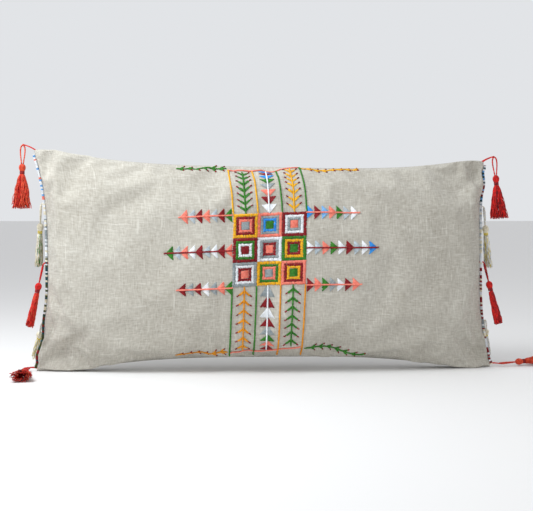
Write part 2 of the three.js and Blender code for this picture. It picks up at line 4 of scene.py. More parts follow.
import bpy
import numpy as np
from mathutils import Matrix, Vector


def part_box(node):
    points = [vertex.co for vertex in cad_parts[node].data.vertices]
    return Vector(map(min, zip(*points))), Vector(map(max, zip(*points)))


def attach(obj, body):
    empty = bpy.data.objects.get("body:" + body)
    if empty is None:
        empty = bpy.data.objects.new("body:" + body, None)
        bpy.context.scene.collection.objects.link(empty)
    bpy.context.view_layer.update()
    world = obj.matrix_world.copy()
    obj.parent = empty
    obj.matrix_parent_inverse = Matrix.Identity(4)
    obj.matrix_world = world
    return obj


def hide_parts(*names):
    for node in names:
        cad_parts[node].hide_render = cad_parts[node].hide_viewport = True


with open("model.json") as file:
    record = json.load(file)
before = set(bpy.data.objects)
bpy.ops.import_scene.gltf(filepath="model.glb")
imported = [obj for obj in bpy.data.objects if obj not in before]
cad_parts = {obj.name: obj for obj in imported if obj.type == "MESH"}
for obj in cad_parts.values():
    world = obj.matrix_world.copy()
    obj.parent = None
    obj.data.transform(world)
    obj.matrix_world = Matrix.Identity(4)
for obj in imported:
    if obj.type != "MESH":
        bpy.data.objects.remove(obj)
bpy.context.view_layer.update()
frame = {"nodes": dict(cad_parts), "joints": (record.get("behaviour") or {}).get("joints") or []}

MM = 0.001

# ---- Sizes of the cover, as the frame has them ----
COVER_WIDTH = 600 * MM
COVER_HEIGHT = 304 * MM
CROWN = 52 * MM
SIDE_PULL = 20 * MM
TOP_PULL = 26 * MM
BOTTOM_PULL = 30 * MM
PULL_POWER = 3.2
FOOT_PRESS = 14 * MM
DROOP_IN = 12 * MM
DROOP_DOWN = 13 * MM
LINEN = 0.9 * MM
MIDDLE_Z = COVER_HEIGHT / 2 - FOOT_PRESS
ZIP_Z = 70 * MM
ZIP_GAP = 5.2 * MM
ZIP_HALF_LENGTH = 204 * MM
ZIP_CLOSED = 0.2 * MM  # half the gap that is left past the zip's ends
ZIP_END_EASE = 10 * MM  # over which the opening closes there
ZIP_HOLD = 26 * MM  # how far from the zip the back keeps its plain form

front_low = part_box("front_panel")[0]
back_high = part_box("upper_back_panel")[1]
MIDDLE_X = front_low.x + COVER_WIDTH / 2
SEAM_Y = (front_low.y + back_high.y) / 2
MIDDLE = np.array([MIDDLE_X, SEAM_Y, 0.0])


# ---- Camera, floor and light ----

def aim(thing, target):
    """Turns a camera or a lamp so that its -Z axis points at the target."""
    thing.rotation_euler = (Vector(target) - thing.location).to_track_quat("-Z", "Y").to_euler()


def add_camera(distance, azimuth, height, look_height, lens):
    """A camera at a distance from the seam's plane, turned azimuth degrees to the left of straight on."""
    data = bpy.data.cameras.new("camera")
    data.lens = lens
    data.sensor_width = 36.0
    camera = bpy.data.objects.new("camera", data)
    angle = math.radians(azimuth)
    camera.location = (MIDDLE_X - distance * math.sin(angle), SEAM_Y - distance * math.cos(angle), height)
    bpy.context.scene.collection.objects.link(camera)
    aim(camera, (MIDDLE_X, SEAM_Y, look_height))
    bpy.context.scene.camera = camera


def add_lamp(name, place, target, size, watts, colour):
    """A square soft box of the given side."""
    data = bpy.data.lights.new(name, "AREA")
    data.shape = "SQUARE"
    data.size = size
    data.energy = watts
    data.color = colour
    lamp = bpy.data.objects.new(name, data)
    lamp.location = Vector(place) + Vector((MIDDLE_X, SEAM_Y, 0))
    bpy.context.scene.collection.objects.link(lamp)
    aim(lamp, Vector(target) + Vector((MIDDLE_X, SEAM_Y, 0)))


def node_setup(name):
    """A new material with only its output and a Principled shader, and a shorthand for adding nodes to it."""
    material = bpy.data.materials.new(name)
    material.use_nodes = True
    tree = material.node_tree
    shader = tree.nodes["Principled BSDF"]

    def node(kind, inputs=None, **settings):
        """Adds a node, with inputs given as values or as the sockets that feed them."""
        made = tree.nodes.new(kind)
        for key, value in settings.items():
            setattr(made, key, value)
        for key, value in (inputs or {}).items():
            if isinstance(value, bpy.types.NodeSocket):
                tree.links.new(value, made.inputs[key])
            else:
                made.inputs[key].default_value = value
        return made

    def math_node(operation, *values):
        """Adds a sum on sockets or numbers, and gives its result."""
        return node("ShaderNodeMath", dict(enumerate(values)), operation=operation).outputs["Value"]

    return material, tree, shader, node, math_node


def plain_material(name, light, dark, grain, roughness, metallic, relief, detail=4.0, bump=0.4):
    """A material with an even grain over the piece's own place, in metres. Returns it and its shader."""
    material, tree, shader, node, _ = node_setup(name)
    place = node("ShaderNodeTexCoord")
    noise = node("ShaderNodeTexNoise", {"Vector": place.outputs["Object"], "Scale": grain, "Detail": detail})
    mix = node("ShaderNodeMix", {0: noise.outputs["Fac"], 6: dark, 7: light}, data_type="RGBA")
    tree.links.new(mix.outputs[2], shader.inputs["Base Color"])
    raised = node("ShaderNodeBump", {"Height": noise.outputs["Fac"], "Strength": bump, "Distance": relief})
    tree.links.new(raised.outputs["Normal"], shader.inputs["Normal"])
    shader.inputs["Roughness"].default_value = roughness
    shader.inputs["Metallic"].default_value = metallic
    return material, shader


def add_floor():
    """A flat pale floor, far larger than the pillow."""
    mesh = bpy.data.meshes.new("floor")
    reach = 30.0
    corners = [(-reach, -reach, 0), (reach, -reach, 0), (reach, reach, 0), (-reach, reach, 0)]
    mesh.from_pydata(corners, [], [(0, 1, 2, 3)])
    floor = bpy.data.objects.new("floor", mesh)
    bpy.context.scene.collection.objects.link(floor)
    material, _, shader, _, _ = node_setup("pale_floor")
    shader.inputs["Base Color"].default_value = (0.76, 0.75, 0.74, 1)
    shader.inputs["Roughness"].default_value = 0.9
    mesh.materials.append(material)


add_camera(distance=1.15, azimuth=3.0, height=0.20, look_height=0.148, lens=60.0)
add_floor()
add_lamp("window", (-0.55, -0.36, 0.82), (-0.10, 0, 0.15), 0.5, 8.5, (0.93, 0.97, 1.0))
add_lamp("fill", (1.6, -1.2, 0.9), (0, 0, 0.15), 1.6, 2.2, (1.0, 0.93, 0.84))
world = bpy.data.worlds.new("studio")
bpy.context.scene.world = world
world.use_nodes = True
world.node_tree.nodes["Background"].inputs["Color"].default_value = (0.95, 0.97, 1.0, 1)
world.node_tree.nodes["Background"].inputs["Strength"].default_value = 0.8
bpy.context.scene.view_settings.view_transform = "Standard"


# ---- Mesh tools ----

def grid_quads(rows, columns, wrap=False, start=0):
    """Quads of a grid whose vertices run row by row. With wrap, the last column joins the first."""
    first = np.arange(rows - 1)[:, None] * columns
    across = np.arange(columns if wrap else columns - 1)[None, :]
    beside = (across + 1) % columns
    quads = np.stack([first + across, first + beside, first + columns + beside, first + columns + across], -1)
    return quads.reshape(-1, 4) + start


def make_piece(name, points, quads, materials, which=None, uv=None, smooth=True):
    """A piece from vertices and quads, with a material index for each quad and a UV pair for each vertex."""
    mesh = bpy.data.meshes.new(name)
    mesh.from_pydata(np.asarray(points, np.float32), [], np.asarray(quads, np.int32))
    for material in materials:
        mesh.materials.append(material)
    if which is not None:
        mesh.polygons.foreach_set("material_index", np.asarray(which, np.int32))
    if uv is not None:
        corners = np.empty(len(mesh.loops), np.int32)
        mesh.loops.foreach_get("vertex_index", corners)
        mesh.uv_layers.new(name="surface").data.foreach_set("uv", np.asarray(uv, np.float32)[corners].ravel())
    if smooth:
        mesh.polygons.foreach_set("use_smooth", np.ones(len(mesh.polygons), bool))
    mesh.update()
    piece = bpy.data.objects.new(name, mesh)
    bpy.context.scene.collection.objects.link(piece)
    return piece


def unit(vectors):
    """Vectors divided by their own lengths."""
    return vectors / np.maximum(np.linalg.norm(vectors, axis=-1, keepdims=True), 1e-12)


def distances(line):
    """The distance along a line of points to each of them, from 0 at the first."""
    return np.concatenate([[0], np.cumsum(np.linalg.norm(np.diff(line, axis=0), axis=1))])


def along_line(distance, run, line):
    """Points at the given distances along a line, where run is the distance to each of its own points."""
    return np.stack([np.interp(distance, run, line[:, axis]) for axis in range(line.shape[1])], -1)


def tubes(paths, sideways, radius, sides, flat=1.0):
    """Closed round threads along many paths at once.

    paths is (threads, stations, 3), sideways the same, and radius (threads, stations). A ring point is
    centre + radius * (cos(turn) * side + flat * sin(turn) * lift), with lift across the path and side.
    Each end is closed by a flat cap. Returns vertices, quads and UVs in metres.
    """
    count, stations = paths.shape[:2]
    along = unit(np.gradient(paths, axis=1))
    side = unit(sideways - along * np.sum(sideways * along, -1, keepdims=True))
    lift = np.cross(side, along)
    turn = np.arange(sides) * (2 * np.pi / sides)
    ring = np.cos(turn)[:, None] * side[:, :, None, :] + flat * np.sin(turn)[:, None] * lift[:, :, None, :]
    points = paths[:, :, None, :] + radius[:, :, None, None] * ring
    one = grid_quads(stations, sides, wrap=True)[:, ::-1]
    fan = np.array([[0, k, k + 1, k + 2] for k in range(1, sides - 2, 2)])
    last = (stations - 1) * sides
    one = np.concatenate([one, fan, fan[:, ::-1] + last])
    quads = (one[None] + (np.arange(count) * stations * sides)[:, None, None]).reshape(-1, 4)
    steps = np.linalg.norm(np.diff(paths, axis=1), axis=-1)
    length = np.concatenate([np.zeros((count, 1)), np.cumsum(steps, 1)], 1)
    around = np.broadcast_to(np.abs(1 - 2 * np.arange(sides) / sides), (count, stations, sides))
    uv = np.stack([np.broadcast_to(length[:, :, None], around.shape), around * np.max(radius) * 3], -1)
    return points.reshape(-1, 3), quads, uv.reshape(-1, 2)


# ---- The filled cover ----

CORNER_ROUND = 7 * MM
COVER_CELLS = (128, 76)  # across the width and up the height, on each of the two sides
SEAM_FULLNESS = 0.017  # share by which the fabric is cut larger at its seam
SEAM_REACH = 0.10  # share of the way in over which that fades
FILL_VOLUME = 0.0105  # cubic metres
CLOTH_SETTINGS = {
    "quality": 6, "mass": 0.3, "air_damping": 4,
    "compression_stiffness": 15, "tension_stiffness": 15, "shear_stiffness": 5, "bending_stiffness": 2.0,
    "shear_damping": 5, "compression_damping": 5, "tension_damping": 5,
    "use_pressure": True, "use_pressure_volume": True, "target_volume": FILL_VOLUME, "pressure_factor": 20,
    "vertex_group_mass": "seam",
}
DRAWN_IN_FRAME = 8
LAST_FRAME = 30


def power(value, exponent):
    """A power of a value, where anything below 0 counts as 0."""
    return np.maximum(value, 0) ** exponent


def pillow_form(across, up, side):
    """The filled form, from shares across and up in -1..1, with side -1 for the front and 1 for the back.

    height = middle + up * (half height - pull * (1 - |across|^p)), the lower half eased into its flat foot;
    x = across * (half width - pull * (1 - |up|^p)); depth = crown * (1 - across^2)^.425 * (1 - up^2)^.325;
    the top right corner slumps by its droop times ((1 + across) / 2)^3 * up^2; and the corners are rounded by
    drawing x in by 0.6 * |across| * |up|^12 and the top down by |across|^20 * up^6, times their rounding.
    """
    open_side = 1 - power(np.abs(across), PULL_POWER)
    ease = 3 * MM
    low = -ease * np.logaddexp(-(COVER_HEIGHT / 2 - BOTTOM_PULL * open_side) / ease, -MIDDLE_Z / ease)
    tall = np.where(up > 0, COVER_HEIGHT / 2 - TOP_PULL * open_side, low)
    slump = power((1 + across) / 2, 3) * power(up, 2)
    x = (COVER_WIDTH / 2 - SIDE_PULL * (1 - power(np.abs(up), PULL_POWER))) * across - DROOP_IN * slump
    depth = CROWN * power(1 - across**2, 0.425) * power(1 - up**2, 0.325)
    x = x - np.sign(across) * CORNER_ROUND * 0.6 * np.abs(across) * power(np.abs(up), 12)
    z = MIDDLE_Z + tall * up - DROOP_DOWN * slump - CORNER_ROUND * power(np.abs(across), 20) * power(up, 6)
    return np.stack([x, side * depth, z], -1)


def sewn_sides(rows, columns):
    """Two grids that share their border: its mask, each grid's vertex numbers, and the quads of both."""
    border = np.ones((rows, columns), bool)
    border[1:-1, 1:-1] = False
    front_ids = np.arange(rows * columns).reshape(rows, columns)
    back_ids = front_ids.copy()
    back_ids[~border] = rows * columns + np.arange(np.count_nonzero(~border))
    faces = grid_quads(rows, columns)
    quads = np.concatenate([front_ids.ravel()[faces][:, ::-1], back_ids.ravel()[faces]])
    return border, front_ids, back_ids, quads


def gathered_shares(cells):
    """Shares from -1 to 1 that crowd towards both ends, where the fabric turns over its edge."""
    even = np.linspace(-1, 1, cells + 1)
    return 0.4 * even + 0.6 * np.sin(even * np.pi / 2)


def fill_cover(front, back):
    """Sews the two grids together round their edge and fills the cover by a cloth simulation with pressure.

    The fabric is cut a little larger towards its seams than the filled form. Its seam is then drawn in to
    the form's outline, so the fullness gathers into soft puckers beside the seams.
    """
    rows, columns = front.shape[:2]
    border, front_ids, back_ids, quads = sewn_sides(rows, columns)
    sewn = np.concatenate([front.reshape(-1, 3), back[~border]])
    middle = np.array([0, 0, MIDDLE_Z])
    nearness = np.exp(-gap_to_border(rows, columns) / SEAM_REACH)
    spare = 1 + SEAM_FULLNESS * np.concatenate([nearness.ravel(), nearness[~border]])
    cut = (sewn - middle) * spare[:, None] + middle

    mesh = bpy.data.meshes.new("cover_cloth")
    mesh.from_pydata(cut.astype(np.float32), [], quads.astype(np.int32))
    cloth = bpy.data.objects.new("cover_cloth", mesh)
    scene = bpy.context.scene
    scene.collection.objects.link(cloth)
    seam = cloth.vertex_groups.new(name="seam")
    seam.add([int(k) for k in front_ids[border]], 1.0, "REPLACE")
    cloth.shape_key_add(name="Basis")
    drawn = cloth.shape_key_add(name="drawn")
    placed = cut.copy()
    placed[front_ids[border]] = sewn[front_ids[border]]
    drawn.data.foreach_set("co", placed.astype(np.float32).ravel())
    for value, when in ((0.0, 1), (1.0, DRAWN_IN_FRAME)):
        drawn.value = value
        drawn.keyframe_insert("value", frame=when)

    modifier = cloth.modifiers.new("Cloth", "CLOTH")
    modifier.point_cache.frame_start, modifier.point_cache.frame_end = 1, 100
    for setting, value in CLOTH_SETTINGS.items():
        setattr(modifier.settings, setting, value)
    modifier.settings.effector_weights.gravity = 0
    modifier.collision_settings.use_self_collision = False
    for when in range(1, LAST_FRAME + 1):
        scene.frame_set(when)
    evaluated = cloth.evaluated_get(bpy.context.evaluated_depsgraph_get()).data
    settled = np.empty(len(evaluated.vertices) * 3, np.float32)
    evaluated.vertices.foreach_get("co", settled)
    settled = settled.reshape(-1, 3).astype(float)
    scene.frame_set(1)
    keys, action = mesh.shape_keys, mesh.shape_keys.animation_data.action
    keys.animation_data_clear()
    bpy.data.objects.remove(cloth)
    bpy.data.meshes.remove(mesh)
    bpy.data.actions.remove(action)
    return settled[front_ids], settled[back_ids]


def gap_to_border(rows, columns):
    """Each grid point's distance to the nearest border, as a share of the whole, 0 at the border."""
    i = np.minimum(np.arange(rows), np.arange(rows)[::-1]) / (rows - 1)
    j = np.minimum(np.arange(columns), np.arange(columns)[::-1]) / (columns - 1)
    return np.minimum(i[:, None], j[None, :])


def cubic_weights(t):
    """Catmull-Rom weights of the four points round a share t of a step."""
    return (
        0.5 * (-t + 2 * t**2 - t**3),
        0.5 * (2 - 5 * t**2 + 3 * t**3),
        0.5 * (t + 4 * t**2 - 3 * t**3),
        0.5 * (-(t**2) + t**3),
    )


def sample(grid, s, t):
    """The smooth surface through a grid of points, at shares s and t of its rows and columns."""
    rows, columns = grid.shape[0] - 1, grid.shape[1] - 1
    x, y = np.clip(s, 0, 1) * rows, np.clip(t, 0, 1) * columns
    i = np.minimum(x.astype(int), rows - 1)
    j = np.minimum(y.astype(int), columns - 1)
    across, up = cubic_weights(x - i), cubic_weights(y - j)
    total = 0
    for a in range(4):
        for b in range(4):
            corner = grid[np.clip(i + a - 1, 0, rows), np.clip(j + b - 1, 0, columns)]
            total = total + (across[a] * up[b])[..., None] * corner
    return total


def surface_normals(grid, s, t, outward):
    """Unit normals of the sampled surface. outward is 1 for the front and -1 for the back."""
    step = 2e-3
    across = sample(grid, s + step, t) - sample(grid, s - step, t)
    up = sample(grid, s, t + step) - sample(grid, s, t - step)
    return unit(np.cross(across, up)) * outward


def soft_foot(points):
    """Presses what would pass through the floor flat against it: z = ease * log(1 + exp(z / ease))."""
    ease = 0.8 * MM
    points = points.copy()
    points[..., 2] = ease * np.logaddexp(0, points[..., 2] / ease)
    return points


def crease(points, normals, start, end, depth, width):
    """A soft fold along a line in x, z: a valley that fades to its far end, with a low ridge beside it."""
    start, end = np.array(start), np.array(end)
    line = end - start
    flat = points[..., [0, 2]] - start
    along = np.clip(flat @ line / (line @ line), 0, 1)
    away = flat @ (np.array([-line[1], line[0]]) / np.linalg.norm(line))
    beyond = np.linalg.norm(flat - along[..., None] * line, axis=-1)
    fade = np.sin(np.pi * np.clip(along, 0, 1) ** 0.6)
    push = -np.exp(-((away / width) ** 2)) + 0.6 * np.exp(-(((away - 1.6 * width) / width) ** 2))
    reach = np.exp(-((np.maximum(beyond - 3 * width, 0) / width) ** 2))
    return points + normals * (depth * fade * push * reach)[..., None]


form_shares = np.meshgrid(*(gathered_shares(cells) for cells in COVER_CELLS), indexing="ij")
form_front, form_back = pillow_form(*form_shares, -1), pillow_form(*form_shares, 1)
front_grid, back_grid = fill_cover(form_front, form_back)

# The folds that run up from the pressed lower corners, and a dimple by the upper right.
grid_shares = np.meshgrid(*(np.linspace(0, 1, cells + 1) for cells in COVER_CELLS), indexing="ij")
front_normals = surface_normals(front_grid, *grid_shares, 1)
for start, end, depth, width in (
    ((-0.292, 0.004), (-0.215, 0.062), 5.0 * MM, 8 * MM),
    ((-0.288, 0.020), (-0.250, 0.110), 4.0 * MM, 8 * MM),
    ((0.292, 0.004), (0.225, 0.060), 5.5 * MM, 8 * MM),
    ((0.286, 0.018), (0.246, 0.100), 4.0 * MM, 7 * MM),
    ((0.282, 0.262), (0.236, 0.222), 4.0 * MM, 9 * MM),
    ((-0.286, 0.276), (-0.235, 0.225), 1.6 * MM, 9 * MM),
):
    front_grid = crease(front_grid, front_normals, start, end, depth, width)

# The back keeps the form's own curve along the zip, which the zip's pieces follow.
hold = np.exp(-(((form_back[..., 2] - ZIP_Z) / ZIP_HOLD) ** 4))[..., None]
back_grid = hold * form_back + (1 - hold) * back_grid
front_grid, back_grid = soft_foot(front_grid), soft_foot(back_grid)


# ---- Linen ----

def srgb(*colour):
    """A colour from eight-bit display values to linear shares."""
    value = np.array(colour) / 255
    linear = np.where(value <= 0.04045, value / 12.92, ((value + 0.055) / 1.055) ** 2.4)
    return (*linear.tolist(), 1.0)


def woven_material(name, light, dark, pitch, weave_shade, depth):
    """A plain weave on the UV in metres: crossing threads with slubs, uneven tones, painted shade in the
    weave's hollows and a low sheen.
    """
    material, tree, shader, node, math_node = node_setup(name)
    surface = node("ShaderNodeUVMap", uv_map="surface")
    parts = node("ShaderNodeSeparateXYZ", {"Vector": surface.outputs["UV"]})
    u, v = parts.outputs["X"], parts.outputs["Y"]

    def stretched_noise(along, across, swap, detail=2.0):
        """Noise with its own scale along each of the two thread directions, swapped for the second."""
        first, second = (v, u) if swap else (u, v)
        where = node("ShaderNodeCombineXYZ", {
            "X": math_node("MULTIPLY", first, along),
            "Y": math_node("MULTIPLY", second, across),
            "Z": 7.0 * swap,
        })
        noise = node("ShaderNodeTexNoise", {
            "Vector": where.outputs["Vector"], "Scale": 1.0, "Detail": detail})
        return noise.outputs["Fac"]

    def ranged(value, low, high, to_low=0.0, to_high=1.0):
        """A value taken from one range to another."""
        made = node("ShaderNodeMapRange", {
            "Value": value, "From Min": low, "From Max": high, "To Min": to_low, "To Max": to_high})
        return made.outputs["Result"]

    # Threads: the warp runs along v and the weft along u, and they pass over each other in turn.
    turn = math.pi / pitch
    warp_wave, weft_wave = (math_node("SINE", math_node("MULTIPLY", axis, turn)) for axis in (u, v))
    over = ranged(math_node("MULTIPLY", warp_wave, weft_wave), -0.35, 0.35)
    heights = node("ShaderNodeMix", {
        0: over, 2: math_node("ABSOLUTE", warp_wave), 3: math_node("ABSOLUTE", weft_wave)}, data_type="FLOAT")
    # Each thread has its own tone, and a slub here and there.
    threads = math_node("ADD", *(stretched_noise(120.0, 0.7 / pitch, swap) for swap in (0, 1)))
    slubs = math_node("ADD", *(
        ranged(stretched_noise(34.0, 0.36 / pitch, swap), 0.60, 0.78) for swap in (0, 1)))
    patches = stretched_noise(11.0, 11.0, 0, 3.0)
    tone = math_node("ADD", ranged(threads, 0.35, 1.65), math_node("MULTIPLY", slubs, 0.35))
    tone = math_node("ADD", tone, ranged(patches, 0.35, 0.65, -0.08, 0.08))
    # Painted shade: where the threads dip under each other the tone is darker, and their raised crossings
    # lighter, by the weave's shade share.
    tone = math_node("ADD", tone, ranged(heights.outputs[0], 0.0, 1.0, -weave_shade, weave_shade))
    ramp = node("ShaderNodeMix", {0: tone, 6: dark, 7: light}, data_type="RGBA", clamp_factor=True)
    tree.links.new(ramp.outputs[2], shader.inputs["Base Color"])
    unevenness = math_node("MULTIPLY", math_node("ADD", slubs, threads), 0.9)
    relief = math_node("ADD", heights.outputs[0], unevenness)
    bump = node("ShaderNodeBump", {"Height": relief, "Strength": 0.55, "Distance": depth})
    tree.links.new(bump.outputs["Normal"], shader.inputs["Normal"])
    shader.inputs["Roughness"].default_value = 0.92
    shader.inputs["Specular IOR Level"].default_value = 0.25
    shader.inputs["Sheen Weight"].default_value = 0.12
    shader.inputs["Sheen Roughness"].default_value = 0.6
    return material


linen = woven_material("natural_linen", srgb(204, 201, 191), srgb(140, 132, 118), 1.2 * MM, 0.26, 0.45 * MM)
cotton = woven_material("insert_cotton", srgb(240, 238, 232), srgb(214, 211, 203), 0.5 * MM, 0.12, 0.12 * MM)


def cloth_lengths(grid):
    """Distances along the fabric from the grid's middle: along its middle row and up its middle column."""
    row, column = grid[:, grid.shape[1] // 2], grid[grid.shape[0] // 2]
    lengths = []
    for line in (row, column):
        run = distances(line)
        lengths.append(run - run[len(run) // 2])
    return lengths


def cloth_piece(name, grid, s, t, outward, material, thickness, extra=None):
    """A piece of fabric over part of a grid, at shares s, t, with its thickness inside and a UV in metres."""
    points = sample(grid, s, t)
    if extra is not None:
        points = points + extra
    along, up = cloth_lengths(grid)
    uv = np.stack([
        np.interp(s, np.linspace(0, 1, len(along)), along), np.interp(t, np.linspace(0, 1, len(up)), up)], -1)
    quads = grid_quads(*s.shape)
    piece = make_piece(name, points.reshape(-1, 3) + MIDDLE, quads[:, ::-1] if outward > 0 else quads,
                       [material], uv=uv.reshape(-1, 2))
    if thickness:
        wall = piece.modifiers.new("thickness", "SOLIDIFY")
        wall.thickness = thickness
        wall.offset = -1
        wall.use_even_offset = False
    return piece


def shares_grid(rows, columns, low=0.0, high=1.0):
    """Shares s, t of a panel, crowded a little towards its edges, with t from low to high."""
    s = (gathered_shares(rows) + 1) / 2
    t = (gathered_shares(columns) + 1) / 2
    s, t = np.meshgrid(s, t, indexing="ij")
    return s, low + (high - low) * t


front_panel = cloth_piece("linen_front", front_grid, *shares_grid(210, 120), 1, linen, LINEN)


def share_at_height(grid, s, height):
    """The share t at which each column s of a lower half reaches a height."""
    t = np.linspace(0, 0.6, 200)
    columns = sample(grid, np.repeat(s[:, None], len(t), 1), np.repeat(t[None], len(s), 0))[..., 2]
    return np.array([np.interp(height[k], columns[k], t) for k in range(len(s))])


def zip_gap(s):
    """Half the width of the opening along the zip, closing to a plain seam past its ends."""
    x = sample(back_grid, s, np.full_like(s, 0.25))[:, 0]
    within = np.clip((ZIP_HALF_LENGTH + ZIP_END_EASE - np.abs(x)) / ZIP_END_EASE, 0, 1)
    return ZIP_CLOSED + (ZIP_GAP - ZIP_CLOSED) * within


def back_panel(name, upper):
    """One back panel: its skin, then a hem that folds in at the zip and runs back under it."""
    s, t = shares_grid(210, 80 if upper else 40)
    column = s[:, 0]
    sign = 1 if upper else -1
    edge = share_at_height(back_grid, column, ZIP_Z + sign * zip_gap(column))
    t = edge[:, None] + (1 - edge[:, None]) * t if upper else edge[:, None] * t
    fold_depth = np.array([0.0, 0.7, 1.6, 2.2, 2.5]) * MM
    fold_back = np.array([0.3, 0.1, 0.3, 1.2, 3.5]) * MM
    lower, higher = 0.25, 0.30  # shares either side of the zip, to tell how many shares a metre is
    marks = sample(back_grid, np.array([0.5, 0.5]), np.array([lower, higher]))
    per_metre = (higher - lower) / np.linalg.norm(marks[1] - marks[0])
    hem_t = edge[:, None] + sign * fold_back[None] * per_metre
    hem_s = np.repeat(column[:, None], len(fold_depth), 1)
    inward = -surface_normals(back_grid, hem_s, hem_t, -1) * fold_depth[None, :, None]
    taper = np.clip(4 * np.minimum(column, 1 - column) / 0.05, 0, 1)[:, None, None]
    hem, zero = inward * taper, np.zeros(t.shape + (3,))
    if upper:
        s, t = np.hstack([hem_s[:, ::-1], s]), np.hstack([hem_t[:, ::-1], t])
        extra = np.concatenate([hem[:, ::-1], zero], 1)
    else:
        s, t = np.hstack([s, hem_s]), np.hstack([t, hem_t])
        extra = np.concatenate([zero, hem], 1)
    return cloth_piece(name, back_grid, s, t, -1, linen, LINEN, extra)


upper_back = back_panel("linen_upper_back", True)
lower_back = back_panel("linen_lower_back", False)
PANELS = ((front_panel, "front_panel"), (upper_back, "upper_back_panel"), (lower_back, "lower_back_panel"))
for piece, node in PANELS:
    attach(piece, "pillow")
    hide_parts(node)


# ---- The cushion inside ----

def inner_cushion(name, inset, lumps, material, cells):
    """A closed cushion inside the cover: both grids drawn in from the edges by the inset, with soft lumps.

    Where the cover is thinner than the inset, each side keeps three tenths of its cover's depth.
    """
    s, t = shares_grid(*cells)
    s_in = 0.5 + (s - 0.5) * (1 - 2 * inset / COVER_WIDTH)
    t_in = 0.5 + (t - 0.5) * (1 - 2 * inset / COVER_HEIGHT)
    rim = np.clip(gap_to_border(*s.shape) / 0.02, 0, 1)[..., None]
    lump = lumps * (np.sin(61 * s + 3 * np.sin(19 * t)) * np.sin(37 * t + 2 * np.sin(23 * s)))[..., None]
    halves = []
    for grid, outward in ((front_grid, 1), (back_grid, -1)):
        points = sample(grid, s_in, t_in)
        room = np.abs(points[..., 1])
        points = points - surface_normals(grid, s_in, t_in, outward) * (inset * rim + lumps + lump)
        points[..., 1] = -outward * np.maximum(-outward * points[..., 1], 0.3 * room)
        points[..., 1] *= rim[..., 0] ** 0.7
        points[..., 2] = np.maximum(points[..., 2], inset)
        halves.append(points)
    border, _, _, quads = sewn_sides(*s.shape)
    points = np.concatenate([halves[0].reshape(-1, 3), halves[1][~border]]) + MIDDLE
    uv = points[:, [0, 2]]
    return make_piece(name, points, quads, [material], uv=uv)


CASING_INSET = 5.0 * MM
FILLING_INSET = 9.0 * MM
FILLING_LUMPS = 0.6 * MM

fibre, fibre_shader = plain_material(
    "polyester_fibre", srgb(250, 250, 250), srgb(226, 226, 226), 160.0, 1.0, 0.0, 1.5 * MM, 6.0, 0.8)
fibre_shader.inputs["Sheen Weight"].default_value = 0.4

casing = inner_cushion("insert_casing", CASING_INSET, 0.0, cotton, (120, 70))
filling = inner_cushion("fibre_filling", FILLING_INSET, FILLING_LUMPS, fibre, (90, 50))
INNER = (
    (casing, ("insert_front_casing", "insert_back_casing"), "insert_cotton"),
    (filling, ("fibre_fill",), "polyester_fibre"),
)
for piece, nodes, slot in INNER:
    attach(piece, "pillow")
    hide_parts(*nodes)


# ---- Threads ----

def thread_material(name, light, dark, twist=1.5 * MM):
    """Spun thread: plies that wind along the thread's own UV in metres, with painted shade in the grooves
    between them and an uneven tone.
    """
    material, tree, shader, node, math_node = node_setup(name)
    surface = node("ShaderNodeUVMap", uv_map="surface")
    parts = node("ShaderNodeSeparateXYZ", {"Vector": surface.outputs["UV"]})
    along = math_node("MULTIPLY", parts.outputs["X"], 2 * math.pi / twist)
    around = math_node("MULTIPLY", parts.outputs["Y"], 3600.0)
    ply = math_node("SINE", math_node("ADD", along, around))
    place = node("ShaderNodeTexCoord")
    blotch = node("ShaderNodeTexNoise", {"Vector": place.outputs["Object"], "Scale": 300.0, "Detail": 3.0})
    # Painted shade: the ply wave that raises the bump also darkens the tone in the grooves between the plies.
    tone = math_node("ADD", math_node("MULTIPLY", ply, 0.18), blotch.outputs["Fac"])
    spread = node("ShaderNodeMapRange", {"Value": tone, "From Min": 0.34, "From Max": 0.6})
    mix = node("ShaderNodeMix", {0: spread.outputs["Result"], 6: dark, 7: light}, data_type="RGBA")
    tree.links.new(mix.outputs[2], shader.inputs["Base Color"])
    bump = node("ShaderNodeBump", {"Height": ply, "Strength": 0.5, "Distance": 0.12 * MM})
    tree.links.new(bump.outputs["Normal"], shader.inputs["Normal"])
    shader.inputs["Roughness"].default_value = 0.6
    shader.inputs["Specular IOR Level"].default_value = 0.35
    return material


COLOURS = {
    "mustard": ((242, 186, 30), (204, 142, 12)),
    "orange": ((234, 158, 24), (188, 112, 8)),
    "maroon": ((150, 12, 24), (92, 4, 12)),
    "coral": ((244, 142, 122), (214, 104, 88)),
    "green": ((58, 134, 36), (26, 88, 14)),
    "grey": ((162, 170, 172), (116, 126, 130)),
    "silver": ((192, 204, 210), (150, 162, 170)),
    "white": ((240, 242, 244), (202, 208, 214)),
    "blue": ((58, 158, 230), (24, 106, 192)),
    "sky": ((130, 184, 230), (86, 140, 198)),
    "red": ((226, 28, 18), (138, 4, 4)),
    "brick": ((224, 84, 50), (158, 34, 16)),
    "ivory": ((240, 234, 214), (198, 188, 160)),
    "yellow": ((232, 212, 96), (188, 162, 50)),
    "teal": ((24, 84, 90), (8, 44, 52)),
    "olive": ((76, 82, 30), (42, 46, 12)),
}
THREADS = {
    name: thread_material(f"{name}_thread", srgb(*light), srgb(*dark))
    for name, (light, dark) in COLOURS.items()
}
chance = np.random.default_rng(11)


def thread(colour, paths, sideways, radius, sides=6, flat=1.0):
    """A group for thread_piece. Its sideways direction and radius may be given once for all its threads."""
    sideways = np.broadcast_to(sideways, paths.shape)
    return colour, paths, sideways, np.broadcast_to(radius, paths.shape[:2]), sides, flat


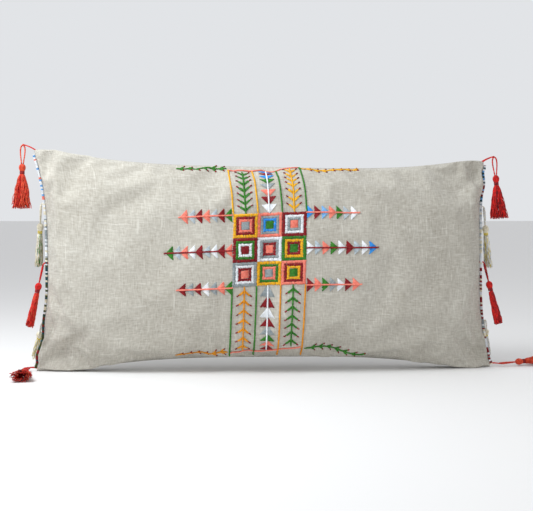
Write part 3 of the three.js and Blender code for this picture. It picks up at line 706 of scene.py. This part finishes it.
def thread_piece(name, groups, body, node):
    """One piece from groups of threads, each group being (colour, paths, sideways, radius, sides, flat)."""
    colours = list(dict.fromkeys(group[0] for group in groups))
    points, quads, which, uvs, start = [], [], [], [], 0
    for colour, paths, sideways, radius, sides, flat in groups:
        more, faces, uv = tubes(paths, sideways, radius, sides, flat)
        points.append(more)
        quads.append(faces + start)
        which.append(np.full(len(faces), colours.index(colour)))
        uvs.append(uv)
        start += len(more)
    piece = make_piece(name, np.concatenate(points), np.concatenate(quads), [THREADS[c] for c in colours],
                       np.concatenate(which), np.concatenate(uvs))
    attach(piece, body)
    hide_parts(node)
    return piece


# ---- A map of the front, for sewing on it ----

def map_front(reach_x, reach_v, step):
    """The front as a regular grid of points: x across, and v the distance up the fabric from the middle.

    For each x the shares s are corrected until the sampled points stand at that x. The column is then read
    off at even distances along the fabric.
    """
    x = np.arange(-reach_x, reach_x + step / 2, step)
    v = np.arange(-reach_v, reach_v + step / 2, step)
    s = 0.5 + np.repeat(x[:, None], 400, 1) / COVER_WIDTH
    t = np.repeat(np.linspace(0.002, 0.998, 400)[None], len(x), 0)
    for _ in range(8):
        s = s + (x[:, None] - sample(front_grid, s, t)[..., 0]) * 0.7 / COVER_WIDTH
    columns = sample(front_grid, s, t)
    result = np.empty((len(x), len(v), 3))
    for k, column in enumerate(columns):
        run = distances(column)
        run = run - np.interp(MIDDLE_Z, column[:, 2], run)
        result[k] = along_line(v, run, column)
    return result


MAP_X, MAP_V = 160 * MM, 146 * MM
front_map = map_front(MAP_X, MAP_V, 2 * MM)


def on_front(places, height):
    """Points and outward normals at places (x, v) in metres, raised by a height along the normals."""
    s = places[..., 0] / (2 * MAP_X) + 0.5
    t = np.clip(places[..., 1] / (2 * MAP_V) + 0.5, 0.004, 0.996)
    normals = surface_normals(front_map, s, t, 1)
    return sample(front_map, s, t) + normals * np.asarray(height)[..., None] + MIDDLE, normals


STITCH_SHARES = np.array([0.0, 0.10, 0.5, 0.90, 1.0])
STITCH_RISE = np.array([-1.2, 0.55, 1.0, 0.55, -1.2])


def stitches(colour, starts, ends, radius=0.36 * MM, lift=0.0):
    """Straight stitches between places (x, v): each comes up through the fabric, lies on it and goes down."""
    starts, ends = np.asarray(starts, float), np.asarray(ends, float)
    places = starts[:, None] + (ends - starts)[:, None] * STITCH_SHARES[None, :, None]
    radii = radius * chance.uniform(0.88, 1.1, (len(starts), 1)) * np.ones_like(STITCH_SHARES)
    rise = STITCH_RISE * radii + lift * np.array([0.0, 1, 1, 1, 0.0])
    paths, normals = on_front(places, rise)
    sideways = np.cross(normals, np.broadcast_to((paths[:, -1:] - paths[:, :1]), paths.shape))
    return colour, paths, sideways, radii, 6, 0.8


def line_stitches(colour, places, width=2.0 * MM, lift=0.35 * MM):
    """Stem stitch along a line of places: overlapping stitches, each slanting a little across the line."""
    places = np.asarray(places, float) * MM
    run = distances(places)
    middles = np.arange(1.2 * MM, run[-1], 1.7 * MM)
    half_stitch = 2.1 * MM
    along = unit(along_line(middles + MM, run, places) - along_line(middles - MM, run, places))
    across = np.stack([-along[:, 1], along[:, 0]], -1) * width * 0.24
    starts = along_line(middles - half_stitch, run, places) - across
    ends = along_line(middles + half_stitch, run, places) + across
    return stitches(colour, starts, ends, width * 0.36, lift)


def wedge(colour, base, apex, half_width, pitch=1.15 * MM):
    """A triangle in satin stitch: threads that fan from the apex to an even row of places along the base."""
    base, apex = np.asarray(base, float) * MM, np.asarray(apex, float) * MM
    along = unit(apex - base)
    across = np.array([-along[1], along[0]])
    offsets = np.arange(-half_width, half_width + pitch / 2, pitch)[:, None] * across
    wobble = chance.normal(0, 0.3 * MM, (len(offsets), 1)) * along
    shorter = np.abs(offsets @ across)[:, None] * along * 0.12
    return stitches(colour, base + offsets + wobble, apex + offsets * 0.10 - shorter, 0.64 * MM)


def triangle_row(colours, inner, outer, half_width=8.4 * MM):
    """Triangles one after another from inner to outer, with a little left over for the line's own end."""
    inner, outer = np.asarray(inner, float), np.asarray(outer, float)
    steps = np.linspace(0, 1 - 3.0 / np.linalg.norm(outer - inner), len(colours) + 1)[:, None]
    marks = inner + (outer - inner) * steps
    groups = []
    for k, colour in enumerate(colours):
        base, apex = marks[k] * 0.93 + marks[k + 1] * 0.07, marks[k + 1] * 1.04 - marks[k] * 0.04
        groups.append(wedge(colour, base, apex, half_width * chance.uniform(0.92, 1.04)))
    return groups


def leaf_pairs(colour, stem, marks, opening, out, reach):
    """Pairs of leaves beside a stem: three slanting stitches each, with a dark stitch at the tip."""
    stem = np.asarray(stem, float)
    run = distances(stem)
    marks = np.asarray(marks, float) * run[-1]
    foot = along_line(marks, run, stem)
    along = unit(stem[-1] - stem[0]) * opening
    groups, tips = [], []
    for side in (-1, 1):
        across = np.array([-along[1], along[0]]) * side
        leaf = across * out + along * reach
        starts = np.concatenate([foot + along * k + across * 0.6 for k in (-1.0, 0.1, 1.1)])
        tip_places = ((0.86, -0.4), (0.84, 0.1), (0.74, 1.0))
        ends = np.concatenate([foot + leaf * share + along * ahead for share, ahead in tip_places])
        ends = ends + chance.normal(0, 0.25, ends.shape)
        groups.append(stitches(colour, starts * MM, ends * MM, 0.62 * MM))
        tips.append((foot + leaf * 0.84, foot + leaf * 1.14 + chance.normal(0, 0.2, foot.shape)))
    starts, ends = (np.concatenate([tip[k] for tip in tips]) for k in (0, 1))
    groups.append(stitches("maroon", starts * MM, ends * MM, 0.78 * MM, 0.25 * MM))
    return groups


# ---- The nine squares ----

SQUARE_ACROSS = 30.3  # millimetres from one square to the next, as are all the pattern's own sizes below
SQUARE_UP = 30.1
PATTERN_X = 1.1  # the middle of the nine squares, across and up the fabric
PATTERN_V = 20.2
ROW_RISE = 0.04  # how much the rows of squares climb to the right
COLUMN_LEAN = 0.019  # how much their columns lean to the right


def lattice_place(column, row):
    """A corner of the nine squares: columns 0 to 3 from the left and rows 0 to 3 from the top, sheared by the
    rows' rise and the columns' lean. x = middle + across + lean * up; v = middle + up + rise * across."""
    across, up = SQUARE_ACROSS * (column - 1.5), SQUARE_UP * (1.5 - row)
    return PATTERN_X + across + COLUMN_LEAN * up, PATTERN_V + up + ROW_RISE * across


LATTICE = np.array([[lattice_place(column, row) for column in range(4)] for row in range(4)])
SQUARES = (
    ("mustard maroon coral grey", "coral grey blue green", "maroon white grey coral"),
    ("maroon green white maroon", "white grey maroon coral", "green mustard maroon green"),
    ("grey white maroon coral", "mustard green coral grey", "coral maroon mustard green"),
)
RINGS = (0.985, 0.745, 0.53, 0.335)  # half sizes of the rings and the centre, as shares of the square's


def square_place(corners, i, j):
    """A place in a square from its four corners and shares i across and j up, each -1..1."""
    left = corners[2] * (1 - j[..., None]) / 2 + corners[0] * (1 + j[..., None]) / 2
    right = corners[3] * (1 - j[..., None]) / 2 + corners[1] * (1 + j[..., None]) / 2
    return (left * (1 - i[..., None]) / 2 + right * (1 + i[..., None]) / 2) * MM


def ragged(places):
    """Small uneven shifts of the needle's holes."""
    return chance.normal(0, 0.28 * MM, places.shape)


def square_stitches(corners, colours):
    """Satin rings round a centre. On each side of a ring a thread runs from the outer edge in to the mitre or
    the inner edge, (p, outer) to (p, max(inner, |p|)), and the centre is rows of level threads."""
    groups = []
    pitch = 1.2 / 15.2
    for ring in range(3):
        outer, inner = RINGS[ring], RINGS[ring + 1] + 0.012
        p = np.arange(-outer + pitch / 3, outer, pitch)
        top, low = np.full_like(p, outer), np.maximum(inner, np.abs(p) - 0.02)
        slant = p + 0.03
        for turn in range(4):
            cos, sin = round(math.cos(turn * math.pi / 2)), round(math.sin(turn * math.pi / 2))
            a = square_place(corners, p * cos - top * sin, p * sin + top * cos)
            b = square_place(corners, slant * cos - low * sin, slant * sin + low * cos)
            groups.append(stitches(colours[ring], a + ragged(a), b + ragged(b), 0.68 * MM, 0.2 * MM))
    q = np.arange(-RINGS[3] + pitch / 2, RINGS[3], pitch)
    half = np.full_like(q, RINGS[3])
    starts, ends = square_place(corners, -half, q), square_place(corners, half, q + 0.05)
    groups.append(stitches(colours[3], starts, ends, 0.66 * MM, 0.2 * MM))
    return groups


groups = []
for row in range(3):
    for column in range(3):
        corners = LATTICE[[row, row, row + 1, row + 1], [column, column + 1, column, column + 1]]
        groups += square_stitches(corners, SQUARES[row][column].split())
thread_piece("stitched_squares", groups, "pillow", "embroidered_squares")

# ---- Rays of triangles ----
RAY_UP = {"top": 44, "middle": 0, "bottom": -46}  # above the squares' middle
RAY_START = 45.5  # from the squares' middle line
RAY_RISE = {"left": 0.04, "right": 0.0}
RAYS = (
    ("left_top", "coral", 67, "green maroon silver coral maroon silver coral"),
    ("left_middle", "maroon", 85, "coral maroon white silver maroon white coral silver green"),
    ("left_bottom", "coral", 70, "green coral grey white maroon grey maroon"),
    ("right_top", "coral", 68, "blue maroon sky coral green silver white"),
    ("right_middle", "maroon", 91, "white silver coral green white maroon silver white blue"),
    ("right_bottom", "coral", 70, "maroon coral green grey white maroon coral"),
)
for name, line_colour, length, colours in RAYS:
    side, row = name.split("_")
    sign = -1 if side == "left" else 1
    inner = (PATTERN_X + sign * RAY_START, PATTERN_V + RAY_UP[row] + sign * ROW_RISE * RAY_START)
    outer = (inner[0] + sign * length, inner[1] + sign * RAY_RISE[side] * length)
    groups = triangle_row(colours.split(), inner, outer)
    groups.append(line_stitches(line_colour, [inner, outer], lift=0.75 * MM))
    thread_piece(f"stitched_ray_{name}", groups, "pillow", f"embroidered_ray_{name}")

# ---- Bands above and below the squares ----
TOP_V, LOW_V = 128, -126  # where the bands end up and down the fabric
TOP_LEAN, LOW_LEAN = 6.5, 3.4  # how far the bands' lines drift to the left on the way
LAST_TRIANGLE_SHARE = 0.45


def top_border(x):
    """The line that closes the top band: level at the left, and climbing to the right by a power of 2.5."""
    return TOP_V + 14 * np.clip((x + 49.5) / 91, 0, 1) ** 2.5


def low_border(x):
    """The line that closes the bottom band, climbing evenly to the right."""
    return -118 + 0.13 * (x + 48)


def band_line(x, end, lean, drift_power):
    """A line from the squares to a height, drifting left by lean * share^power of the way."""
    start = PATTERN_V + math.copysign(1.5 * SQUARE_UP, end) + ROW_RISE * (x - PATTERN_X)
    share = np.linspace(0, 1, 7)
    return np.stack([x - lean * share**drift_power, start + (end - start) * share], -1)


def shrinking_marks(start, end, count, last_share):
    """Marks from start to end whose steps shrink evenly to a share of the first."""
    steps = np.linspace(1, last_share, count)
    return start + (end - start) * np.concatenate([[0], np.cumsum(steps)]) / steps.sum()


def sew_band(where, line_colours, leaf_colours, triangle_colours):
    """Four long lines, a column of leaves on each side, triangles up the middle, and the border."""
    top = where == "top"
    lean, drift = (TOP_LEAN, 1.3) if top else (LOW_LEAN, 1.0)
    row = 0 if top else 3
    groups = []
    for column, colour in enumerate(line_colours):
        x = LATTICE[row, column, 0]
        end = top_border(x - lean) if top else LOW_V
        groups.append(line_stitches(colour, band_line(x, end, lean, drift)))
    x = np.linspace(-49, 41, 9)
    groups.append(line_stitches("coral", np.stack([x, top_border(x) if top else low_border(x)], -1)))
    middles = (LATTICE[row, :-1, 0] + LATTICE[row, 1:, 0]) / 2
    for column, colour in zip((0, 2), leaf_colours):
        x = middles[column]
        stem = band_line(x, top_border(x) - 4 if top else low_border(x) + 3, lean * 0.6, drift)
        groups += leaf_pairs(colour, stem, np.linspace(0.07, 0.9, 7), 1, 8.2, 5.6)
        groups.append(line_stitches(colour, stem))
    x = middles[1] - 0.8
    stem = band_line(x, top_border(x) - 4 if top else low_border(x) + 1, lean * 0.6, drift)
    marks = shrinking_marks(stem[0, 1], stem[-1, 1], len(triangle_colours), LAST_TRIANGLE_SHARE)
    for near, far, colour in zip(marks[:-1], marks[1:], triangle_colours):
        if top:
            near_x, far_x = (np.interp(v, stem[:, 1], stem[:, 0]) for v in (near, far))
            apex, base = (near_x, near - 0.5), (far_x, far)
        else:
            apex, base = (x, near + 0.5), (x - 1, far)
        groups.append(wedge(colour, base, apex, 9.2 * MM))
    groups.append(line_stitches("white", stem, lift=0.75 * MM))
    thread_piece(f"stitched_{where}_band", groups, "pillow", f"embroidered_{where}_band")


sew_band("top", ("mustard", "mustard", "green", "green"), ("green", "mustard"),
         "white maroon coral grey green blue maroon blue".split())
sew_band("bottom", ("green", "green", "orange", "orange"), ("orange", "green"),
         "grey maroon white maroon grey green coral maroon".split())

# ---- Level branches beside the bands ----
BRANCHES = (  # name, colour, start, end, pairs of leaves, and the way that they open
    ("left_top", "green", (-52, 130.5), (-115, 133.5), 6, -1),
    ("right_top", "mustard", (42.5, 137), (118, 140), 7, 1),
    ("left_bottom", "orange", (-51, -118), (-117, -124.5), 6, -1),
    ("right_bottom", "green", (46, -109.5), (126, -124), 7, 1),
)
for name, colour, start, end, pairs, opening in BRANCHES:
    share = np.linspace(0, 1, 9)[:, None]
    stem = np.array(start) * (1 - share) + np.array(end) * share
    stem[:, 1] += 1.2 * np.sin(2 * np.pi * share[:, 0])
    groups = leaf_pairs(colour, stem, np.linspace(0.12, 0.92, pairs), opening, 4.6, 4.6)
    groups.append(line_stitches(colour, stem))
    node = f"embroidered_branch_{name}"
    thread_piece(f"stitched_branch_{name}", groups, "pillow", node)


# ---- Whipped short seams ----

def hanging_point(name):
    """The point that a tassel hangs from and swings about."""
    joint = next(j for j in frame["joints"] if j["name"] == f"{name}_swing")
    return np.array(joint["pos_m"], float)


def holding_stitches(side, column):
    """Short bundles of thread from the seam to the points that the side's tassels hang from."""
    groups = []
    for number in range(1, 6):
        end = hanging_point(f"{side}_tassel_{number}")
        seam = column + MIDDLE
        start = seam[np.argmin(np.linalg.norm(seam - end, axis=1))]
        inward = start + (start - end) * 0.4 + np.array([0, 0, 0.3 * MM])
        spread = chance.normal(0, 0.45 * MM, (7, 1, 3))
        t = np.linspace(0, 1, 7)[None, :, None]
        arch = np.array([0, 0, 1.2 * MM]) * np.sin(np.pi * t)
        paths = inward * (1 - t) + end * t + spread * (1 - 0.5 * t) + arch
        paths[..., 2] = np.maximum(paths[..., 2], 0.6 * MM)
        colour = "red" if number % 2 else "ivory"
        groups.append(thread(colour, paths, np.array([0, 1.0, 0.1]), 0.42 * MM))
    return groups


WHIP_START = 3.2 * MM  # height of the lowest turn
WHIP_END = 0.95  # share of the way up to the top corner
WHIP_OUT = 1.9 * MM  # from the seam to the middle of the turns
WHIP_RADIUS = 1.42 * MM
WHIP_PITCH = 0.64 * MM
WHIP_THREAD = 0.36 * MM
WHIP_PATCH = 2.4 * MM  # length of a patch of one colour
WHIP_STATIONS = 13


def whipped_edge(name, node, column, sign, palettes):
    """Turns of thread wound side by side round the seam, in patches of colour, each turn on its own ring."""
    line = column[(column[:, 2] > WHIP_START)]
    shares = np.linspace(-1, 1, COVER_CELLS[1] + 1)
    limit = np.interp(WHIP_END, gathered_shares(COVER_CELLS[1]), shares)
    line = line[: len(line) - np.count_nonzero(shares > limit)] + np.array([sign * WHIP_OUT, 0, 0])
    run = distances(line)
    middles = np.arange(0.6 * MM, run[-1] - 0.3 * MM, WHIP_PITCH)
    centre = along_line(middles, run, line)
    along = unit(along_line(middles + MM, run, line) - along_line(middles - MM, run, line))
    side = unit(np.cross(along, np.array([0.0, 1.0, 0.0])))
    depth = np.cross(side, along)
    turn = np.linspace(0, 2 * np.pi, WHIP_STATIONS)[None, :, None]
    reach = WHIP_RADIUS * chance.uniform(0.95, 1.05, (len(middles), 1, 1))
    out = side[:, None] * np.cos(turn) + depth[:, None] * np.sin(turn)
    slant = along[:, None] * (turn / (2 * np.pi) - 0.5) * WHIP_PITCH
    paths = centre[:, None] + out * reach + slant + MIDDLE
    patch = (middles / WHIP_PATCH).astype(int)
    heights = centre[:, 2] / (COVER_HEIGHT - FOOT_PRESS)
    groups = holding_stitches("left" if sign < 0 else "right", column)
    choice = chance.integers(0, 1000, patch.max() + 1)[patch]
    for k, palette in enumerate(palettes):
        band = (heights >= k / len(palettes)) & (heights < (k + 1) / len(palettes) + (k == len(palettes) - 1))
        for c, colour in enumerate(palette.split()):
            chosen = band & (choice % len(palette.split()) == c)
            if chosen.any():
                groups.append(thread(colour, paths[chosen], along[chosen][:, None], WHIP_THREAD))
    thread_piece(name, groups, "pillow", node)


LEFT_PATCHES = (
    "olive teal olive maroon", "teal olive white ivory", "white ivory white grey", "white coral sky white")
RIGHT_PATCHES = (
    "white maroon ivory grey", "white ivory maroon white",
    "white silver ivory white", "maroon white sky teal")
whipped_edge("left_whipping", "left_side_edging", front_grid[0], -1, LEFT_PATCHES)
whipped_edge("right_whipping", "right_side_edging", front_grid[-1], 1, RIGHT_PATCHES)


# ---- Tassels ----
# Distances down are from the point that a tassel hangs from.
LOOP_TOP = 1.1 * MM
LOOP_LENGTH = 24 * MM
LOOP_WIDTH = 8 * MM
LOOP_FEET = 2.4 * MM  # between the middles of the cord's two ends
LOOP_ROUNDNESS = 0.8
PLY_TWIST = 4.2 * MM  # cord that a full turn of its plies takes
PLY_OFFSET = 0.5 * MM
PLY_RADIUS = 0.55 * MM
HEAD_TOP = 25.3 * MM
HEAD_THREADS = 30
HEAD_THREAD = 0.46 * MM
BINDING_TOP = 34.6 * MM
BINDING_TURNS = 5
BINDING_RADIUS = 2.75 * MM
BINDING_PITCH = 0.72 * MM
BINDING_THREAD = 0.42 * MM
SKIRT_TOP = 38.9 * MM
SKIRT_LENGTH = 43.4 * MM
SKIRT_UNEVEN = 0.13  # share of its length by which a thread may be cut short
SKIRT_NECK = 2.6 * MM
SKIRT_EDGE = 2.9 * MM  # what a thread's own thickness and sway leave of the skirt's half
SKIRT_SWAY = 0.75 * MM
SKIRT_THREADS = 170
SKIRT_STATIONS = 14
SKIRT_THREAD = 0.46 * MM

def frame_of(name):
    """A tassel's hanging point and its wide, deep and up directions, from its joint and skirt."""
    origin = hanging_point(name)
    skirt = frame["nodes"][f"{name}_skirt"].data
    points = np.empty(len(skirt.vertices) * 3, np.float32)
    skirt.vertices.foreach_get("co", points)
    up = unit(origin - points.reshape(-1, 3).mean(0))
    if name.endswith("_1"):
        wide = np.array([1.0, 0, 0])
    elif name.endswith("_5"):
        wide = unit(np.cross(np.array([0.0, 0, 1]), up))
    else:
        wide = np.array([0.0, 1.0, 0])
    deep = unit(np.cross(up, wide))
    return origin, np.cross(deep, up), deep, up


def placed(tassel, local):
    """Local points (wide, deep, up) from a tassel's hanging point, put in place."""
    origin, wide, deep, up = tassel
    return origin + local[..., 0:1] * wide + local[..., 1:2] * deep + local[..., 2:3] * up


def add_tassel(name, colours, tie, skirt_wide, skirt_deep, lying):
    """A tassel in three pieces: a loop of two-ply cord, a bound head, and a skirt of cut wavy threads.

    The loop swells to a half circle's sine, and the head's threads follow a ball into its neck. A skirt thread
    at share q of the way down stands at (neck + (half - edge) * q^.7) times its own place in the skirt's round.
    """
    tassel = frame_of(name)
    _, wide, deep, up = tassel
    main = colours[0]
    t = np.linspace(0, 1, 60)
    turn = np.pi * (1 - t)
    swell = (np.sin(turn) * LOOP_WIDTH + LOOP_FEET) / 2
    fall = LOOP_TOP + LOOP_LENGTH * (1 - power(np.sin(turn), LOOP_ROUNDNESS))
    core = np.stack([np.cos(turn) * swell, 0 * t, -fall], -1)
    along = unit(np.gradient(core, axis=0))
    beside = np.cross(along, np.array([0.0, 1.0, 0.0]))
    angle = (distances(core) * 2 * np.pi / PLY_TWIST)[None] + np.array([0, np.pi])[:, None]
    around = np.cos(angle)[..., None] * beside + np.sin(angle)[..., None] * np.array([0.0, 1, 0])
    plies = placed(tassel, core[None] + PLY_OFFSET * around)
    groups = [thread(main, plies[:1], deep, PLY_RADIUS), thread(colours[1], plies[1:], deep, PLY_RADIUS)]
    thread_piece(f"{name}_cord", groups, name, f"{name}_loop")

    # Head: meridian threads over a ball into the neck, round a plain core, with the neck's binding.
    drop = np.array([0.2, 0.9, 2.6, 4.8, 7.0, 8.6, 10.2, 12.6]) * MM
    ball = np.array([0.7, 2.2, 3.5, 3.95, 3.5, 2.8, 2.5, 2.5]) * MM
    spin = np.arange(HEAD_THREADS) * (2 * np.pi / HEAD_THREADS) + chance.normal(0, 0.04, HEAD_THREADS)
    twist = spin[:, None] + np.linspace(0, 0.35, len(drop))[None]
    local = np.stack([np.cos(twist) * ball, np.sin(twist) * ball, np.broadcast_to(-drop, twist.shape)], -1)
    local[..., 2] -= HEAD_TOP
    paths = placed(tassel, local)
    tangent = np.stack([-np.sin(twist), np.cos(twist), 0 * twist], -1)
    tangent = tangent[..., :1] * wide + tangent[..., 1:2] * deep
    groups = [thread(main, paths, tangent, HEAD_THREAD)]
    rod = placed(tassel, np.stack([0 * drop, 0 * drop, -drop - HEAD_TOP], -1))[None]
    groups.append(thread(main, rod, wide, ball * 0.95, 12))
    wraps = np.linspace(0, 2 * np.pi * BINDING_TURNS, BINDING_TURNS * 14)
    fall = -BINDING_TOP - wraps / (2 * np.pi) * BINDING_PITCH
    binding = np.stack([np.cos(wraps) * BINDING_RADIUS, np.sin(wraps) * BINDING_RADIUS, fall], -1)
    groups.append(thread(tie, placed(tassel, binding)[None], up, BINDING_THREAD))
    thread_piece(f"{name}_knot", groups, name, f"{name}_head")

    # Skirt: wavy threads from the neck to an uneven end.
    count, stations = SKIRT_THREADS, SKIRT_STATIONS
    q = np.linspace(0, 1, stations)[None]
    turn = chance.uniform(0, 2 * np.pi, (count, 1))
    reach = np.sqrt(chance.uniform(0.12, 1.0, (count, 1)))
    length = SKIRT_LENGTH * (1 - SKIRT_UNEVEN * chance.uniform(0, 1, (count, 1)) ** 2)
    flare = power(q, 0.7)
    x = np.cos(turn) * reach * (SKIRT_NECK + (skirt_wide / 2 - SKIRT_EDGE) * flare)
    y = np.sin(turn) * reach * (SKIRT_NECK + (skirt_deep / 2 - SKIRT_EDGE) * flare)
    sway = SKIRT_SWAY * np.sqrt(q)
    waves = chance.uniform(0, 2 * np.pi, (4, count, 1))
    beats = chance.uniform(1.5, 3.6, (2, count, 1))
    x = x + sway * np.sin(2 * np.pi * beats[0] * q + waves[0])
    y = y + sway * np.sin(2 * np.pi * beats[1] * q + waves[1])
    local = np.stack([x, y, -SKIRT_TOP - length * q], -1)
    paths = placed(tassel, local)
    paths[..., 2] = np.maximum(paths[..., 2], (0.8 + 0.6 * lying * chance.uniform(0, 1, (count, 1))) * MM)
    radius = np.broadcast_to(SKIRT_THREAD * (1 - 0.25 * q), (count, stations))
    groups = []
    share = chance.integers(0, len(colours), count)
    for k, colour in enumerate(dict.fromkeys(colours)):
        chosen = np.isin(share, [n for n, c in enumerate(colours) if c == colour])
        if chosen.any():
            groups.append(thread(colour, paths[chosen], wide, radius[chosen], 4))
    thread_piece(f"{name}_threads", groups, name, f"{name}_skirt")


SKIRTS = {"corner": (25 * MM, 14 * MM), "side": (20 * MM, 9.5 * MM), "floor": (28 * MM, 15 * MM)}
TASSEL_COLOURS = {
    "left_1": ("brick", "brick", "brick", "red"), "right_1": ("red", "red", "red", "maroon"),
    "left_3": ("red", "red", "brick"), "right_3": ("red", "maroon", "red"),
    "left_5": ("red", "maroon", "brick"), "right_5": ("brick", "red", "brick"),
    "left_2": ("ivory", "ivory", "white", "yellow", "ivory", "green"),
    "right_2": ("ivory", "white", "ivory", "grey", "yellow"),
    "left_4": ("ivory", "white", "ivory", "yellow"), "right_4": ("ivory", "white", "ivory", "grey"),
}
for key, colours in TASSEL_COLOURS.items():
    side, number = key.split("_")
    shape = {"1": "corner", "5": "floor"}.get(number, "side")
    tie = "yellow" if colours[0] == "ivory" else "maroon"
    add_tassel(f"{side}_tassel_{number}", colours, tie, *SKIRTS[shape], number == "5")


# ---- Zip ----

ZIP_BEND = 1824 * MM  # radius of the arc that the zip follows
COIL_PITCH = 1.5 * MM
FILAMENT_RADIUS = 0.33 * MM


def zip_coil(name, node):
    """A coil of bent filament: a helix along the zip's arc, y = top - (bend - sqrt(bend^2 - x^2))."""
    low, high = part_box(node)
    middle_x, middle_z = (low.x + high.x) / 2, (low.z + high.z) / 2
    half = (high.x - low.x) / 2 - 0.6 * MM
    x = np.linspace(-half, half, int(2 * half / COIL_PITCH) * 10)
    bow = high.y - 1.2 * MM - (ZIP_BEND - np.sqrt(ZIP_BEND**2 - x**2))
    turn = x / COIL_PITCH * 2 * np.pi
    round_y, round_z = 0.82 * MM * np.cos(turn), 0.85 * MM * np.sin(turn)
    path = np.stack([middle_x + x, bow + round_y, middle_z + round_z], -1)[None]
    sideways = np.broadcast_to(np.array([1.0, 0, 0]), path.shape) + 0.01
    points, quads, uv = tubes(path, sideways, np.full(path.shape[:2], FILAMENT_RADIUS), 6)
    piece = make_piece(name, points, quads, [coil_plastic], uv=uv)
    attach(piece, "pillow")
    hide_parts(node)


coil_plastic, _ = plain_material(
    "coil_plastic", srgb(214, 206, 188), srgb(190, 180, 160), 900.0, 0.35, 0.0, 0.05 * MM)
zip_cloth, _ = plain_material(
    "zip_cloth", srgb(208, 200, 184), srgb(150, 140, 122), 1600.0, 0.9, 0.0, 0.3 * MM)
zip_metal, _ = plain_material(
    "zip_metal", srgb(186, 180, 168), srgb(150, 144, 132), 500.0, 0.32, 1.0, 0.03 * MM)
zip_coil("upper_filament", "upper_zip_coil")
zip_coil("lower_filament", "lower_zip_coil")
KEPT_NODES = {
    "upper_zip_tape": zip_cloth, "lower_zip_tape": zip_cloth, "zip_top_stop": zip_metal,
    "zip_bottom_stop": zip_metal, "zip_slider": zip_metal, "zip_pull": zip_metal,
}
for name, material in KEPT_NODES.items():
    for place in frame["nodes"][name].material_slots:
        place.material = material
